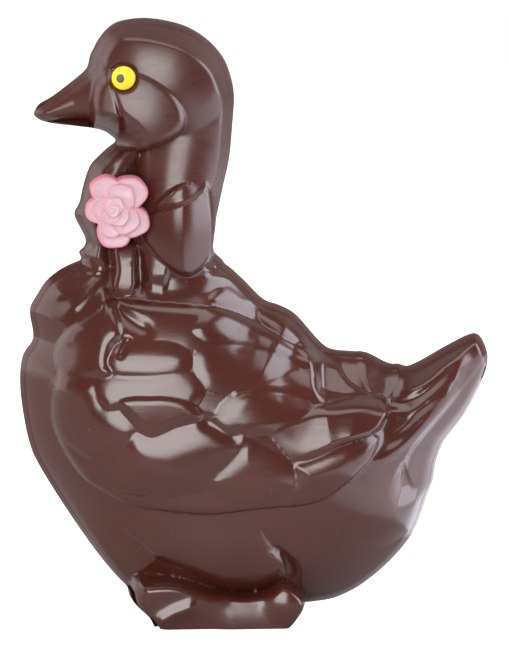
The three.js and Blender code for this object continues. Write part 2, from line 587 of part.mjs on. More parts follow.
// Turns the shared side of two neighbouring triangles wherever that makes both less narrow.
function evenOut(spots, triangles) {
  const corner = (a, b, c) => {
    const [u, v] = [spots[a].clone().sub(spots[c]), spots[b].clone().sub(spots[c])];
    return Math.atan2(u.cross(v), u.dot(v));
  };
  for (let turned = true, round = 0; turned && round < 30; round++) {
    turned = false;
    const owner = new Map();
    triangles.forEach((t, n) => t.forEach((a, k) => owner.set(`${a},${t[(k + 1) % 3]}`, n)));
    const touched = new Set();
    triangles.forEach((t, n) => {
      for (let k = 0; k < 3 && !touched.has(n); k++) {
        const [a, b, c] = [t[k], t[(k + 1) % 3], t[(k + 2) % 3]];
        const m = owner.get(`${b},${a}`);
        if (m === undefined || touched.has(m)) continue;
        const d = triangles[m].find((other) => other !== a && other !== b);
        const facing = Math.abs(corner(a, b, c)) + Math.abs(corner(a, b, d));
        const fits = corner(a, d, c) > 0.01 && corner(d, b, c) > 0.01;
        if (facing < Math.PI + 1e-6 || !fits) continue;
        triangles[n] = [a, d, c];
        triangles[m] = [d, b, c];
        touched.add(n).add(m);
        turned = true;
      }
    });
  }
  return triangles;
}

const CLOSEST = 0.45; // points of the rim's edge keep this far apart
function reliefGeometry(cell) {
  const outer = walkOutline([20, 90], cell * 0.9);
  const inner = [];
  const innerOf = [];
  for (const point of outer) {
    const [gx, gz] = slopeOf(...point);
    const moved = settle([point[0] + gx * DRAFT, point[1] + gz * DRAFT], DRAFT);
    const last = inner[inner.length - 1];
    if (!last || Math.hypot(moved[0] - last[0], moved[1] - last[1]) > CLOSEST) inner.push(moved);
    innerOf.push(inner.length - 1);
  }
  const positions = [];
  const faces = [];
  const add = (x, y, z) => positions.push(x, y, z) / 3 - 1;
  const grid = gridInside(cell, DRAFT + cell * 0.45);
  const onSeam = outer.map(([x, z]) => add(x, 0, z));
  for (const side of [-1, 1]) {
    const turn = (a, b, c) => faces.push(...(side < 0 ? [a, b, c] : [a, c, b]));
    const rimEdge = inner.map(([x, z]) => add(x, side * depthAt(x, z), z));
    const nodes = new Map();
    const nodeAt = (id) => {
      if (!nodes.has(id)) {
        const [x, z] = grid.spot(id);
        nodes.set(id, add(x, side * depthAt(x, z), z));
      }
      return nodes.get(id);
    };
    // The leaning wall from the seam to the rim's edge.
    for (let i = 0; i < onSeam.length; i++) {
      const j = (i + 1) % onSeam.length;
      turn(onSeam[i], onSeam[j], rimEdge[innerOf[j]]);
      if (innerOf[i] !== innerOf[j]) turn(onSeam[i], rimEdge[innerOf[j]], rimEdge[innerOf[i]]);
    }
    // The field of grid cells, each split along its flatter diagonal.
    for (const [i, j] of grid.cells) {
      const [a, b, c, d] = grid.cornersOf(i, j).map(nodeAt);
      const drop = (p, q) => Math.abs(positions[p * 3 + 1] - positions[q * 3 + 1]);
      if (drop(a, c) < drop(b, d)) {
        turn(a, b, c);
        turn(a, c, d);
      } else {
        turn(a, b, d);
        turn(b, c, d);
      }
    }
    // The band between the rim's edge and the field.
    const flat = (list) => list.map(([x, z]) => new THREE.Vector2(x, z));
    const holes = grid.rings.map((ring) => flat(ring.map(grid.spot)).reverse());
    const indices = [...rimEdge, ...grid.rings.flatMap((ring) => ring.map(nodeAt).reverse())];
    const spots = [flat(inner), ...holes].flat();
    for (const [a, b, c] of evenOut(spots, THREE.ShapeUtils.triangulateShape(flat(inner), holes))) {
      turn(indices[a], indices[b], indices[c]);
    }
  }
  const geometry = new THREE.BufferGeometry();
  geometry.setAttribute("position", new THREE.Float32BufferAttribute(positions, 3));
  geometry.setIndex(faces);
  return geometry;
}

// ---- Cuts and joins ----
const wasm = await Module();
wasm.setup();
function solid(geometry) {
  const bare = geometry.clone();
  bare.deleteAttribute("normal");
  bare.deleteAttribute("uv");
  const merged = mergeVertices(bare, 1e-4);
  return new wasm.Manifold(new wasm.Mesh({
    numProp: 3,
    vertProperties: new Float32Array(merged.attributes.position.array),
    triVerts: new Uint32Array(merged.index.array),
  }));
}
function geometryOf(body) {
  const mesh = body.getMesh();
  const geometry = new THREE.BufferGeometry();
  geometry.setAttribute("position", new THREE.BufferAttribute(new Float32Array(mesh.vertProperties), 3));
  geometry.setIndex(new THREE.BufferAttribute(new Uint32Array(mesh.triVerts), 1));
  geometry.computeVertexNormals();
  return geometry;
}
const box = (x, y, z, low) => new THREE.BoxGeometry(x, y, z).translate(0, 0, low + z / 2);

// ---- The chocolate, cut flat where it stands ----
const relief = solid(reliefGeometry(CELL));
const goose = relief.intersect(solid(box(300, 100, 300, 0)));

// ---- The rose: rings of round cupped petals, each ring standing over the one outside it ----
// Depth of the rose's face at a point measured from its middle.
function roseFace(u, v) {
  const depths = PETALS.map((petal) => {
    const from = Math.hypot(u - petal.u, v - petal.v);
    const inside = petal.radius - from;
    if (inside < 0) return 0;
    const rounded = ROSE.rounding - cushion(inside, ROSE.rounding, ROSE.rounding);
    return petal.lip - petal.cup * (1 - (from / petal.radius) ** 2) - rounded;
  });
  return Math.max(...depths);
}
// How far the outer petals reach in a direction from the middle.
function roseReach(angle) {
  const reaches = PETALS.map(({ u, v, radius }) => {
    const ahead = u * Math.cos(angle) + v * Math.sin(angle);
    const spare = radius * radius - (u * u + v * v - ahead * ahead);
    return spare > 0 ? ahead + Math.sqrt(spare) : 0;
  });
  return Math.max(...reaches);
}
const JUST_INSIDE = 0.99; // the outermost points still lie on a petal
function roseGeometry() {
  const { spokes, rings } = ROSE;
  const positions = [];
  const faces = [];
  const point = (a, share, depth) => {
    const angle = (a / spokes) * 2 * Math.PI;
    const reach = roseReach(angle) * share;
    const [u, v] = [reach * Math.cos(angle), reach * Math.sin(angle)];
    positions.push(ROSE.x + u, -(depth ?? roseFace(u * JUST_INSIDE, v * JUST_INSIDE)), ROSE.z + v);
  };
  point(0, 0);
  for (let r = 1; r <= rings; r++) {
    for (let a = 0; a < spokes; a++) point(a, r / rings);
  }
  const back = positions.length / 3;
  for (let a = 0; a < spokes; a++) point(a, ROSE.backShare, ROSE.back);
  const middle = positions.length / 3;
  point(0, 0, ROSE.back);
  for (let a = 0; a < spokes; a++) {
    const b = (a + 1) % spokes;
    faces.push(0, 1 + a, 1 + b, middle, back + b, back + a);
    for (let r = 0; r < rings; r++) {
      const low = 1 + r * spokes;
      const high = low + spokes;
      faces.push(low + a, high + a, high + b, low + a, high + b, low + b);
    }
  }
  const geometry = new THREE.BufferGeometry();
  geometry.setAttribute("position", new THREE.Float32BufferAttribute(positions, 3));
  geometry.setIndex(faces);
  return geometry;
}
const rose = solid(roseGeometry()).subtract(solid(geometryOf(goose).translate(0, -GAP, 0)));

// ---- An eye: a sugar lens in its socket, with a dark dot set in its front, a little towards the beak ----
// A flat-backed disc with a bulging front; y is how far its back lies from the seam plane.
function lens({ radius, thickness, bulge, x, y, z }, side) {
  const profile = [new THREE.Vector2(0, 0), new THREE.Vector2(radius, 0)];
  const steps = 6;
  for (let i = 0; i <= steps; i++) {
    const t = (i / steps) * (Math.PI / 2);
    profile.push(new THREE.Vector2(radius * Math.cos(t), thickness - bulge + bulge * Math.sin(t)));
  }
  profile[profile.length - 1].x = 0;
  const geometry = new THREE.LatheGeometry(profile, 28);
  return solid(geometry.rotateX(side < 0 ? Math.PI : 0).translate(x, side * y, z));
}
function eyeAndPupil(side) {
  const back = depthAt(EYE.x, EYE.z) + GAP;
  const front = back + EYE.depth;
  const whole = { ...EYE, y: back - EYE.root, thickness: EYE.depth + EYE.root };
  const dot = { ...PUPIL, x: EYE.x + PUPIL.shift, z: EYE.z, y: front - PUPIL.sunk - PUPIL.thickness };
  const recess = { ...dot, radius: PUPIL.radius + GAP, y: dot.y - GAP, thickness: EYE.depth };
  const chocolate = solid(geometryOf(goose).translate(0, side * GAP, 0));
  const eye = lens(whole, side).subtract(lens(recess, side)).subtract(chocolate);
  return { eye, pupil: lens(dot, side) };
}
const near = eyeAndPupil(-1);
const far = eyeAndPupil(1);

// ---- The pieces ----
const chocolate = new THREE.MeshStandardMaterial({ color: 0x4a2a24, roughness: 0.22, metalness: 0 });
const pinkSugar = new THREE.MeshStandardMaterial({ color: 0xf2b3c4, roughness: 0.55, metalness: 0 });
const yellowSugar = new THREE.MeshStandardMaterial({ color: 0xf5e62f, roughness: 0.35, metalness: 0 });
const darkSugar = new THREE.MeshStandardMaterial({ color: 0x566060, roughness: 0.4, metalness: 0 });
const part = new THREE.Group();
function piece(name, body, material) {
  const mesh = new THREE.Mesh(geometryOf(body), material);
  mesh.name = name;
  part.add(mesh);
}
piece("goose", goose, chocolate);
piece("rose", rose, pinkSugar);
piece("eye_left", near.eye, yellowSugar);
piece("pupil_left", near.pupil, darkSugar);
piece("eye_right", far.eye, yellowSugar);
piece("pupil_right", far.pupil, darkSugar);

export default part;
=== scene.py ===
import math
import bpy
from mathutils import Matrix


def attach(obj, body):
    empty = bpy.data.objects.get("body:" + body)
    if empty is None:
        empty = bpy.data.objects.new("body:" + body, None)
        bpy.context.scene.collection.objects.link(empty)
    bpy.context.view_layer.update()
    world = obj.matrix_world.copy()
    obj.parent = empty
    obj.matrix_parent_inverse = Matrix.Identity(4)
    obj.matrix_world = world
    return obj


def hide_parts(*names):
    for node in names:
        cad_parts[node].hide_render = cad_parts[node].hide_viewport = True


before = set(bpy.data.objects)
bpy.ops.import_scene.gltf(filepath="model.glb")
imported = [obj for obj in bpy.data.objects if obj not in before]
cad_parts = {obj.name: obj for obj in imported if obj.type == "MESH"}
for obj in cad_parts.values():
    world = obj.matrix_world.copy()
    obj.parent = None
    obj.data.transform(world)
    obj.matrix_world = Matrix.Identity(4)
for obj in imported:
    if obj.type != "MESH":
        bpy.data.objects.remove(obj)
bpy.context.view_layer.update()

from types import SimpleNamespace as Form

import bpy
import numpy as np
from mathutils import Vector
from mathutils.geometry import delaunay_2d_cdt

bpy.ops.object.select_all(action="DESELECT")
bpy.context.scene.view_settings.view_transform = "Standard"

# ---------------------------------------------------------------------------------------------------
# Camera: a long lens well back, a little above the goose and a little towards its beak.
# The picture is 509 by 657 pixels, and the goose's middle plane is 0.298 mm to the pixel.
MM = 0.001
PICTURE_WIDTH, MM_PER_PIXEL = 509, 0.298
VIEW_AZIMUTH, VIEW_ELEVATION = math.radians(-4), math.radians(9)
VIEW_DISTANCE = 1.6
AIM = Vector((0, 0, 0.0869))
towards_camera = Vector((
    math.sin(VIEW_AZIMUTH) * math.cos(VIEW_ELEVATION),
    -math.cos(VIEW_AZIMUTH) * math.cos(VIEW_ELEVATION),
    math.sin(VIEW_ELEVATION),
))
bpy.ops.object.camera_add(location=AIM + towards_camera * VIEW_DISTANCE)
camera = bpy.context.object
camera.name = "camera"
camera.rotation_euler = towards_camera.to_track_quat("Z", "Y").to_euler()
camera.data.sensor_fit = "HORIZONTAL"
camera.data.lens = camera.data.sensor_width * VIEW_DISTANCE / (PICTURE_WIDTH * MM_PER_PIXEL * MM)
camera.data.clip_end = 20
bpy.context.scene.camera = camera

# ---------------------------------------------------------------------------------------------------
# Studio: a big softbox in front, a bank of light overhead, a cool panel at the tail side, weaker ones at
# the breast and behind, a small cool panel flat on the table below the tail, and a fill that leaves no
# reflection, all in a pale room.
GOOSE_MIDDLE = Vector((0, 0, 0.09))
COOL_WHITE = (0.86, 0.89, 1.0)
CARD_HEIGHT = 0.004  # of the panel that lies on the table
ROOM_GLOW = 0.15  # how strongly the room lights the goose, where the camera sees pure white


def light_panel(name, azimuth, elevation, distance, width, height, radiance, colour=(1, 1, 1)):
    """A rectangular softbox, placed by its direction from the goose; radiance 1 is a white card."""
    a, e = math.radians(azimuth), math.radians(elevation)
    way = Vector((math.sin(a) * math.cos(e), -math.cos(a) * math.cos(e), math.sin(e)))
    bpy.ops.object.light_add(type="AREA", location=GOOSE_MIDDLE + way * distance)
    panel = bpy.context.object
    panel.name = name
    panel.rotation_euler = way.to_track_quat("Z", "Y").to_euler()
    panel.data.shape = "RECTANGLE"
    panel.data.size, panel.data.size_y = width, height
    panel.data.energy = radiance * math.pi * width * height
    panel.data.color = colour
    panel.visible_camera = False
    return panel


light_panel("softbox", azimuth=-14, elevation=14, distance=1.2, width=0.8, height=0.75, radiance=6.9)
light_panel("overhead", azimuth=-10, elevation=88, distance=1.2, width=1.4, height=0.95, radiance=2.2)
light_panel(
    "cool_side", azimuth=90, elevation=16, distance=0.8, width=0.7, height=0.9, radiance=5,
    colour=COOL_WHITE)
light_panel("breast_side", azimuth=-112, elevation=14, distance=1.0, width=0.8, height=0.8, radiance=1.4)
light_panel("backdrop", azimuth=180, elevation=24, distance=1.3, width=2.4, height=1.3, radiance=0.3)
bounce_card = light_panel(
    "bounce_card", azimuth=70, elevation=-15, distance=0.35, width=0.5, height=0.7, radiance=1.3,
    colour=COOL_WHITE)
bounce_card.location.z = CARD_HEIGHT
bounce_card.rotation_euler = (math.pi, 0, 0)  # shines straight up
fill = light_panel("fill", azimuth=-70, elevation=4, distance=1.5, width=1.0, height=0.6, radiance=7)
fill.visible_glossy = False


def glow_for_camera(nodes, links, socket, unseen_strength):
    """Full brightness where the camera looks, and a weaker one for what lights the goose."""
    path = nodes.new("ShaderNodeLightPath")
    strength = nodes.new("ShaderNodeMapRange")
    strength.inputs["To Min"].default_value = unseen_strength
    links.new(path.outputs["Is Camera Ray"], strength.inputs["Value"])
    links.new(strength.outputs["Result"], socket)


world = bpy.data.worlds.new("pale_room")
bpy.context.scene.world = world
world.use_nodes = True
room = world.node_tree.nodes["Background"]
room.inputs["Color"].default_value = (1, 1, 1, 1)
glow_for_camera(world.node_tree.nodes, world.node_tree.links, room.inputs["Strength"], ROOM_GLOW)

# ---------------------------------------------------------------------------------------------------
# Table: a plain flat top covered in matt white paper, which the goose stands on. It starts a little in
# front of the goose and runs well back. The camera sees it pure white.
TABLE_WIDTH, TABLE_FRONT, TABLE_BACK = 3, -0.32, 1.5
bpy.ops.mesh.primitive_plane_add(size=1, enter_editmode=True)
bpy.ops.transform.resize(value=(TABLE_WIDTH, TABLE_BACK - TABLE_FRONT, 1))
bpy.ops.transform.translate(value=(0, (TABLE_BACK + TABLE_FRONT) / 2, 0))
bpy.ops.object.mode_set(mode="OBJECT")
table = bpy.context.object
table.name = "table"
paper = bpy.data.materials.new("white_paper")
paper.use_nodes = True
paper_shader = paper.node_tree.nodes["Principled BSDF"]
paper_shader.inputs["Base Color"].default_value = (0.5, 0.5, 0.5, 1)
paper_shader.inputs["Roughness"].default_value = 0.8
paper_shader.inputs["Emission Color"].default_value = (1, 1, 1, 1)
glow_for_camera(paper.node_tree.nodes, paper.node_tree.links, paper_shader.inputs["Emission Strength"], 0)
table.data.materials.append(paper)

# ---------------------------------------------------------------------------------------------------
# Chocolate goose: one dark chocolate casting from a polished two-part mould, so each half is a relief
# on the seam plane. It is made here as the mould is cut, by raising named forms over a fine even net,
# with a leaning rim along the seam; all lengths in this section are millimetres until the mesh is made.
RIM, RIM_AT_TIPS = 5.0, 3.2  # half thickness of the rim along the seam, and at the beak's tip
TIPS_FROM, TIPS_OVER = -44, 18  # the rim thins from this x on, over this length
DRAFT, RIM_ROUNDING = 1.7, 2.0  # how far the rim's wall leans in, and the rounding of its edge
WALL_TOP = 16  # the wall rises no more from this far in, where it is above every form
SEAM_BLEND = 1.5  # rounding where the outlines of two parts meet
SHRINKAGE = 0.06  # the chocolate sets this much inside the outlines of the mould
BODY_DEPTH, BODY_ROUNDING = 28.5, 34  # half thickness of the body, reached this far in from its edge
BODY_REACH = 4  # the body's edge counts as no more than this much further off than the figure's
LARGEST_DEPTH, EDGE_ROUNDING = 34, 22  # the limit for every form, reached this far in from the rim
RIM_BORDER = 3  # the plumage and the folds fade out over this distance from the rim
WING_LIFT, WING_EDGE = 2.0, 2.8  # the wing stands this much over the body, and its edge's width
THIGH_LIFT, THIGH_EDGE, THIGH_TOP, THIGH_FADE = 3.4, 6, 36, 20  # it fades out upwards, over a length
FEATHER_OVERLAP, FEATHER_REACH = 0.8, 1  # how far it runs past its outline, and where it is nothing
FEATHER_CREASE = 0.35  # rounding where two feathers meet
RUN_OUT = 0.25  # a ridge's ends run out over this share of its length
RIDGE_REACH = 3  # a ridge is nothing at this many times its width
RIDGE_FADE = 1.5  # the tail's ridges fade out over this distance from the wing and from the rim
SKIRT, FOOT_SKIRT = 1.5, 2  # a form may reach this far outside its outline
LOOP_RIM = 0.3  # the near loop keeps this far inside the seam
EYE_X, EYE_Z, EYE_RADIUS = -39.5, 164.0, 3.6
SOCKET, SOCKET_MARGIN, SOCKET_EDGE = 1.0, 1.0, 1.2  # its depth, how much wider it is, and its edge
# Outlines in the seam plane, as (x, z) points of closed smooth curves.
SEAM_OUTLINES = {
    "head_and_neck": [
        (-43, 177.5), (-38.5, 179.5), (-31, 180), (-21.5, 178), (-14.5, 174), (-9.5, 168.5), (-7, 162.5),
        (-6, 156.5), (-6.5, 148.5), (-7.5, 138), (-10, 126.5), (-12.5, 112), (-9.5, 106.5), (-16.5, 98.5),
        (-34, 99), (-41, 111), (-40, 126), (-38.5, 138), (-40, 144), (-46, 150.5), (-48.5, 159),
        (-48.5, 167), (-47, 172.5)],
    "beak": [
        (-65, 153), (-65, 151), (-60.5, 149), (-46, 147), (-39.5, 144), (-34, 153), (-40, 168.5),
        (-47.5, 170), (-49.5, 165.5), (-54, 161.5), (-60, 157), (-63.5, 155)],
    "body": [
        (-53.5, 107.5), (-61, 103), (-65, 97.5), (-67, 93), (-66, 85), (-69, 80), (-70, 73.5), (-69.5, 65),
        (-67.5, 54), (-64, 45.5), (-52.5, 27), (-42.5, 13.5), (-35.5, 8), (-16.5, 2), (17, 3.5), (27.5, 6),
        (35.5, 11), (42.5, 17.5), (47.5, 24), (50.5, 31), (52.5, 38), (53.5, 45), (55.5, 52.5), (49.5, 65),
        (44.5, 75), (40, 76), (31.5, 79.5), (23.5, 80.5), (19.5, 83), (12.5, 91), (7.5, 94), (2.5, 96),
        (-4, 102.5), (-9.5, 107), (-19.5, 111), (-40, 111)],
    "tail": [
        (31.5, 79.5), (40, 75.5), (44.5, 75), (49, 76.5), (57, 81), (64, 84.5), (67, 84.5), (69, 81.5),
        (70, 77), (68.5, 71), (63, 60), (55.5, 49.5), (52.5, 37.5), (43.5, 34.5), (28.5, 50), (25.5, 71)],
    "front_loop": [
        (-40, 143.5), (-42.5, 142.5), (-46, 139.5), (-49, 136), (-51, 130), (-52, 125.5), (-53.5, 122.5),
        (-53, 120), (-50.5, 115), (-50.5, 112.5), (-52, 109.5), (-43, 103.5), (-34, 111), (-34, 132),
        (-36.5, 141)],
    "foot": [
        (-38, 9), (-37.5, 6), (-35, 3.5), (-32.5, 1.5), (-31, -1), (-28, -6), (-10, -7), (5, -6),
        (9.5, -2), (12.8, 2), (14.8, 6), (13.5, 14), (-16.5, 17), (-36.5, 14.5)],
}
HEAD = [
    (-43, 177.5), (-38.5, 179.5), (-31, 180), (-21.5, 178), (-14.5, 174), (-9.5, 168.5), (-8, 160),
    (-12, 151), (-22, 146), (-36, 146), (-46, 150.5), (-48.5, 159), (-48.5, 167), (-47, 172.5)]
CHEEK = [
    (-48.5, 155), (-46, 150), (-42, 146), (-36, 143), (-30, 143.5), (-24.5, 146), (-21.5, 149.5),
    (-21, 153), (-22.5, 157.5), (-26, 162), (-32, 166), (-39.5, 167), (-46.5, 163.5)]
WING = [
    (-43.5, 98.5), (-47.5, 95.5), (-52, 92.5), (-56.5, 89), (-59.5, 84), (-60, 80), (-59, 76.5),
    (-60.5, 71), (-61, 65), (-60, 59), (-57, 52.5), (-52, 45.5), (-45, 41), (-38, 38), (-29, 37),
    (-15, 36), (-0.5, 37.5), (15.5, 39), (25, 44.5), (33, 52), (35.5, 57), (34, 59), (37.5, 62),
    (39, 65), (37, 67.5), (27.5, 72.5), (23.5, 78.5), (13, 83), (1.5, 89.5), (-11.5, 95.5), (-28, 97.5)]
NEAR_LOOP = [
    (-34.5, 116.5), (-33, 122), (-29, 128), (-24, 132), (-18.5, 133.5), (-14.5, 133.5), (-13, 130.5),
    (-12, 122), (-12, 113.5), (-13, 109), (-16, 106), (-20, 104.5), (-24, 105.5), (-28.5, 108), (-32, 112)]
LOOP_MOUTH = [
    (-32, 123.5), (-28, 127.5), (-23, 131.5), (-18, 133), (-15.5, 132.5), (-17, 129.5), (-21, 127),
    (-27, 125)]
THIGH = [
    (-39.5, 31), (-35, 26), (-30, 21.5), (-23.5, 19), (-16, 14.5), (-10, 10.5), (-5, 9), (1.5, 10),
    (7, 13.5), (8, 19), (6, 24), (2.5, 27), (-6, 39.5), (-24, 42.5)]
KNOT_FOLD = [
    (-42.5, 113.5), (-42, 107), (-43, 101), (-39, 99), (-36, 101), (-35.7, 107), (-35.5, 114), (-39, 115)]
FOOT = [
    (-38, 8), (-37.5, 12.5), (-36, 15.5), (-29.5, 16.5), (-22.5, 16), (-16, 13.5), (-10, 11.2), (-3.5, 10.5),
    (2.5, 11.5), (6.5, 14.5), (11, 12.5), (14.5, 8), (13.5, 3), (10, -1.5), (1.5, -6), (-16.5, -8), (-26, -7),
    (-31, -2.5), (-36, 1.5), (-38, 4.5)]
# Gently bulging faces: the middle of the bulge, its depth and radius, how high the rounded edge stands
# and how wide it is, and how steeply the form falls away outside its outline.
HEAD_FACE = Form(x=-26, z=161.5, depth=16.8, radius=31, edge=5, width=6, fall=3)
CHEEK_FACE = Form(x=-31.5, z=151, depth=18.9, radius=36, edge=4, width=3, fall=4)
KNOT_FACE = Form(x=-35.3, z=101, depth=15.6, radius=26, edge=3, width=1.8, fall=3)
# The near loop of the bow has an upright crest, and falls away from it to the knot and to the neck.
LOOP_FACE = Form(
    x=-22.5, z=120, depth=21.1, crest=math.sqrt(6.8), to_knot=0.65, to_neck=0.9, height=15, sag=1.5,
    edge=5, width=2.5, fall=5, mouth=1.6)
# The body's fullness: where it is deepest, and how far it reaches to the breast, to the tail and up.
FULLNESS = Form(x=-15, z=46, depth=29, to_breast=64, to_tail=95, up=66, least=8)
# The rump and the tail's underside rise from the rim at an even slope. Each range of x or z gives where
# the slope starts and ends, and over what length it fades in or out.
SLOPE = Form(foot=5.5, rise=1.05, deep=10, more=1.2, elsewhere=12)
RUMP_RANGE = Form(start=12, fade_in=8, end=56, fade_out=16, low=60, up=6)
UNDER_TAIL = Form(x=46, z=60, across=0.75, along=0.66, fade=6, low=28, up=14)
# The foot: the toes lean in downwards from their top, and from the heel's x on it is rounded instead.
FOOT_FACE = Form(
    depth=21.5, rise=17, edge=5, heel_edge=2.6, toe_top=12, toe_slope=0.08, heel=-15, turn=7, radius=35)
KNOB = Form(x=8, z=7, depth=22.8, radius=10)
TOE_RIDGE = (np.array([(-32, 1), (-25, 5), (-17, 8)]), 2.2, 1.2)
# Round forms: a spine of (x, z) points, then the radius and the depth at even steps along it.
RUMP = ([(20, 60), (40, 62), (50, 66)], [26, 19, 12], [21, 15, 12])
TAIL = ([(30, 44), (46, 60), (58, 73), (66, 83)], [24, 18.5, 12.5, 6], [23, 17, 11.5, 6])
NECK = ([(-31, 167), (-22, 162), (-19.5, 150), (-22, 135), (-24, 120), (-25, 106)],
        [15, 15.5, 14.5, 14, 14.5, 17.5], [14, 13.5, 13.2, 14.2, 14.8, 14.8])
BEAK = ([(-42, 159), (-56, 154.2), (-65, 151)], [10.5, 5.2, 1.6], [11, 6, 3.4])
FRONT_LOOP = ([(-38, 140), (-47, 129), (-50, 118), (-47, 108)], [5, 8.5, 8, 6], [8, 11, 11, 9])
# Feathers and coverts on the wing: outline, lift, the width over which the edge rounds off, and how
# much the lift grows for each millimetre towards the tail and upwards.
FEATHERS = {
    "shoulder": ([
        (-46.5, 100.5), (-52, 93), (-57, 88.5), (-59.5, 82.5), (-59, 78), (-55, 77), (-49.5, 77),
        (-44.5, 78), (-45.5, 81.5), (-44, 86), (-41, 89.5), (-42, 95.5), (-43.5, 99.5)], 1.2, 4, 0.11, 0),
    "front_row": ([
        (-59.5, 74.5), (-61, 71), (-61, 65), (-59.5, 59), (-57, 55.5), (-53.5, 53), (-50, 51.5),
        (-46.5, 51.5), (-42.5, 53.5), (-39, 57), (-37.5, 60), (-37.5, 62.5), (-40, 65.5), (-43.5, 67.5),
        (-47, 68.5), (-48, 72), (-49, 75.5), (-53.5, 76)], 0.9, 6, 0, 0),
    "first_covert": ([
        (-45, 80.5), (-44, 83.5), (-40.5, 86), (-34.5, 86.5), (-26.5, 86), (-22, 84), (-21, 81),
        (-23.5, 78.5), (-30, 77.5), (-36.5, 77.5), (-42, 78)], 0.75, 4.5, 0, -0.04),
    "second_covert": ([
        (-48.5, 75.5), (-44.5, 76.5), (-36.5, 77), (-30, 77.5), (-23.5, 78), (-19, 76.5), (-17.5, 73),
        (-20, 69), (-23, 68.5), (-28.5, 69), (-37.5, 69), (-41.5, 68.5), (-44.5, 67), (-47, 69.5),
        (-48.5, 72.5)], 0.6, 3.5, 0, -0.04),
    "leaf": ([
        (-41.5, 70.5), (-37.5, 71.5), (-33, 71.5), (-28.5, 71.5), (-23, 70.5), (-20, 68.5), (-18, 66),
        (-19.5, 64.5), (-25.5, 63), (-29, 61), (-32.5, 59.5), (-35.5, 61.5), (-38.5, 65),
        (-40.5, 67.5)], 1.2, 3, 0, 0.05),
    "great_covert": ([
        (-38, 60), (-32.5, 60), (-29, 60.5), (-24.5, 62), (-17.5, 64), (-11, 64.5), (-6.5, 62),
        (-4, 58), (-4.5, 54.5), (-7.5, 51), (-12, 48), (-19, 44), (-30, 42.5), (-37, 45), (-41, 49.5),
        (-41, 55.5)], 1.5, 9, -0.012, 0),
    "inner_covert": ([
        (-13, 65), (-11, 69), (-7, 71.5), (0.5, 72.5), (9, 71), (15, 67.5), (14.5, 65), (8.5, 62),
        (3, 61), (-2, 60.5), (-7, 60), (-11, 61)], 1.0, 5, 0.07, 0),
    "long_feather": ([
        (-4.5, 61.5), (-1, 61.5), (3.5, 62), (8.5, 63.5), (15.5, 66.5), (22.5, 67), (30, 68),
        (36.5, 67.5), (38.5, 65.5), (37, 62.5), (34.5, 59.5), (23.5, 56.5), (14.5, 52.5), (9.5, 51.5),
        (4.5, 53.5), (-1.5, 56), (-4, 58)], 1.9, 3, 0.07, 0.06),
    "lower_feather": ([
        (-4, 58), (0.5, 55.5), (4.5, 53.5), (8, 51), (9.5, 48), (9.5, 44.5), (6.5, 42), (1, 40),
        (-6.5, 40), (-13, 42.5), (-16, 46.5), (-12, 52), (-8, 56)], 1.3, 8, 0, 0),
    "last_feather": ([
        (10.5, 50.5), (14.5, 52), (23.5, 56), (34.5, 59), (35.5, 56), (33, 52), (30, 48.5), (26, 45.5),
        (19, 43.5), (12, 41.5), (9.5, 43), (10, 46), (10.5, 48.5)], 1.3, 6, -0.03, 0.05),
    "back_covert": ([
        (-18.5, 84), (-14.5, 86.5), (-6, 85.5), (2, 83.5), (7.5, 81.5), (11, 78.5), (9.5, 76.5),
        (3.5, 75), (-3, 73.5), (-10, 73), (-16, 74), (-18.5, 79)], 0.5, 5, -0.03, 0),
    "small_covert": ([
        (-7.5, 72), (-2.5, 73.5), (2.5, 75.5), (8, 76.5), (12.5, 76), (17, 73), (17, 70.5), (12.5, 69.5),
        (7, 70.5), (0.5, 72.5)], 1.0, 4, 0, 0),
    "lower_back_feather": ([
        (-19, 90.5), (-16, 94), (-11, 94.5), (-3.5, 91), (5.5, 86.5), (14.5, 80.5), (19, 78.5),
        (12.5, 79), (7.5, 81.5), (1.5, 83.5), (-6, 85.5), (-14, 87)], 1.0, 4, 0, 0),
    "upper_back_feather": ([
        (1.5, 91.5), (0.5, 95), (2, 96.5), (8.5, 92.5), (14.5, 88), (19.5, 82), (22, 78.5), (20, 78),
        (13, 82), (6.5, 86.5)], 1.6, 3.5, 0, 0),
    "neck_feather": ([
        (-13.5, 98.5), (-10, 100.5), (-5, 98.5), (-2.5, 96.5), (-5.5, 95.5), (-9.5, 96.5)], 0.7, 2.5, 0, 0),
}
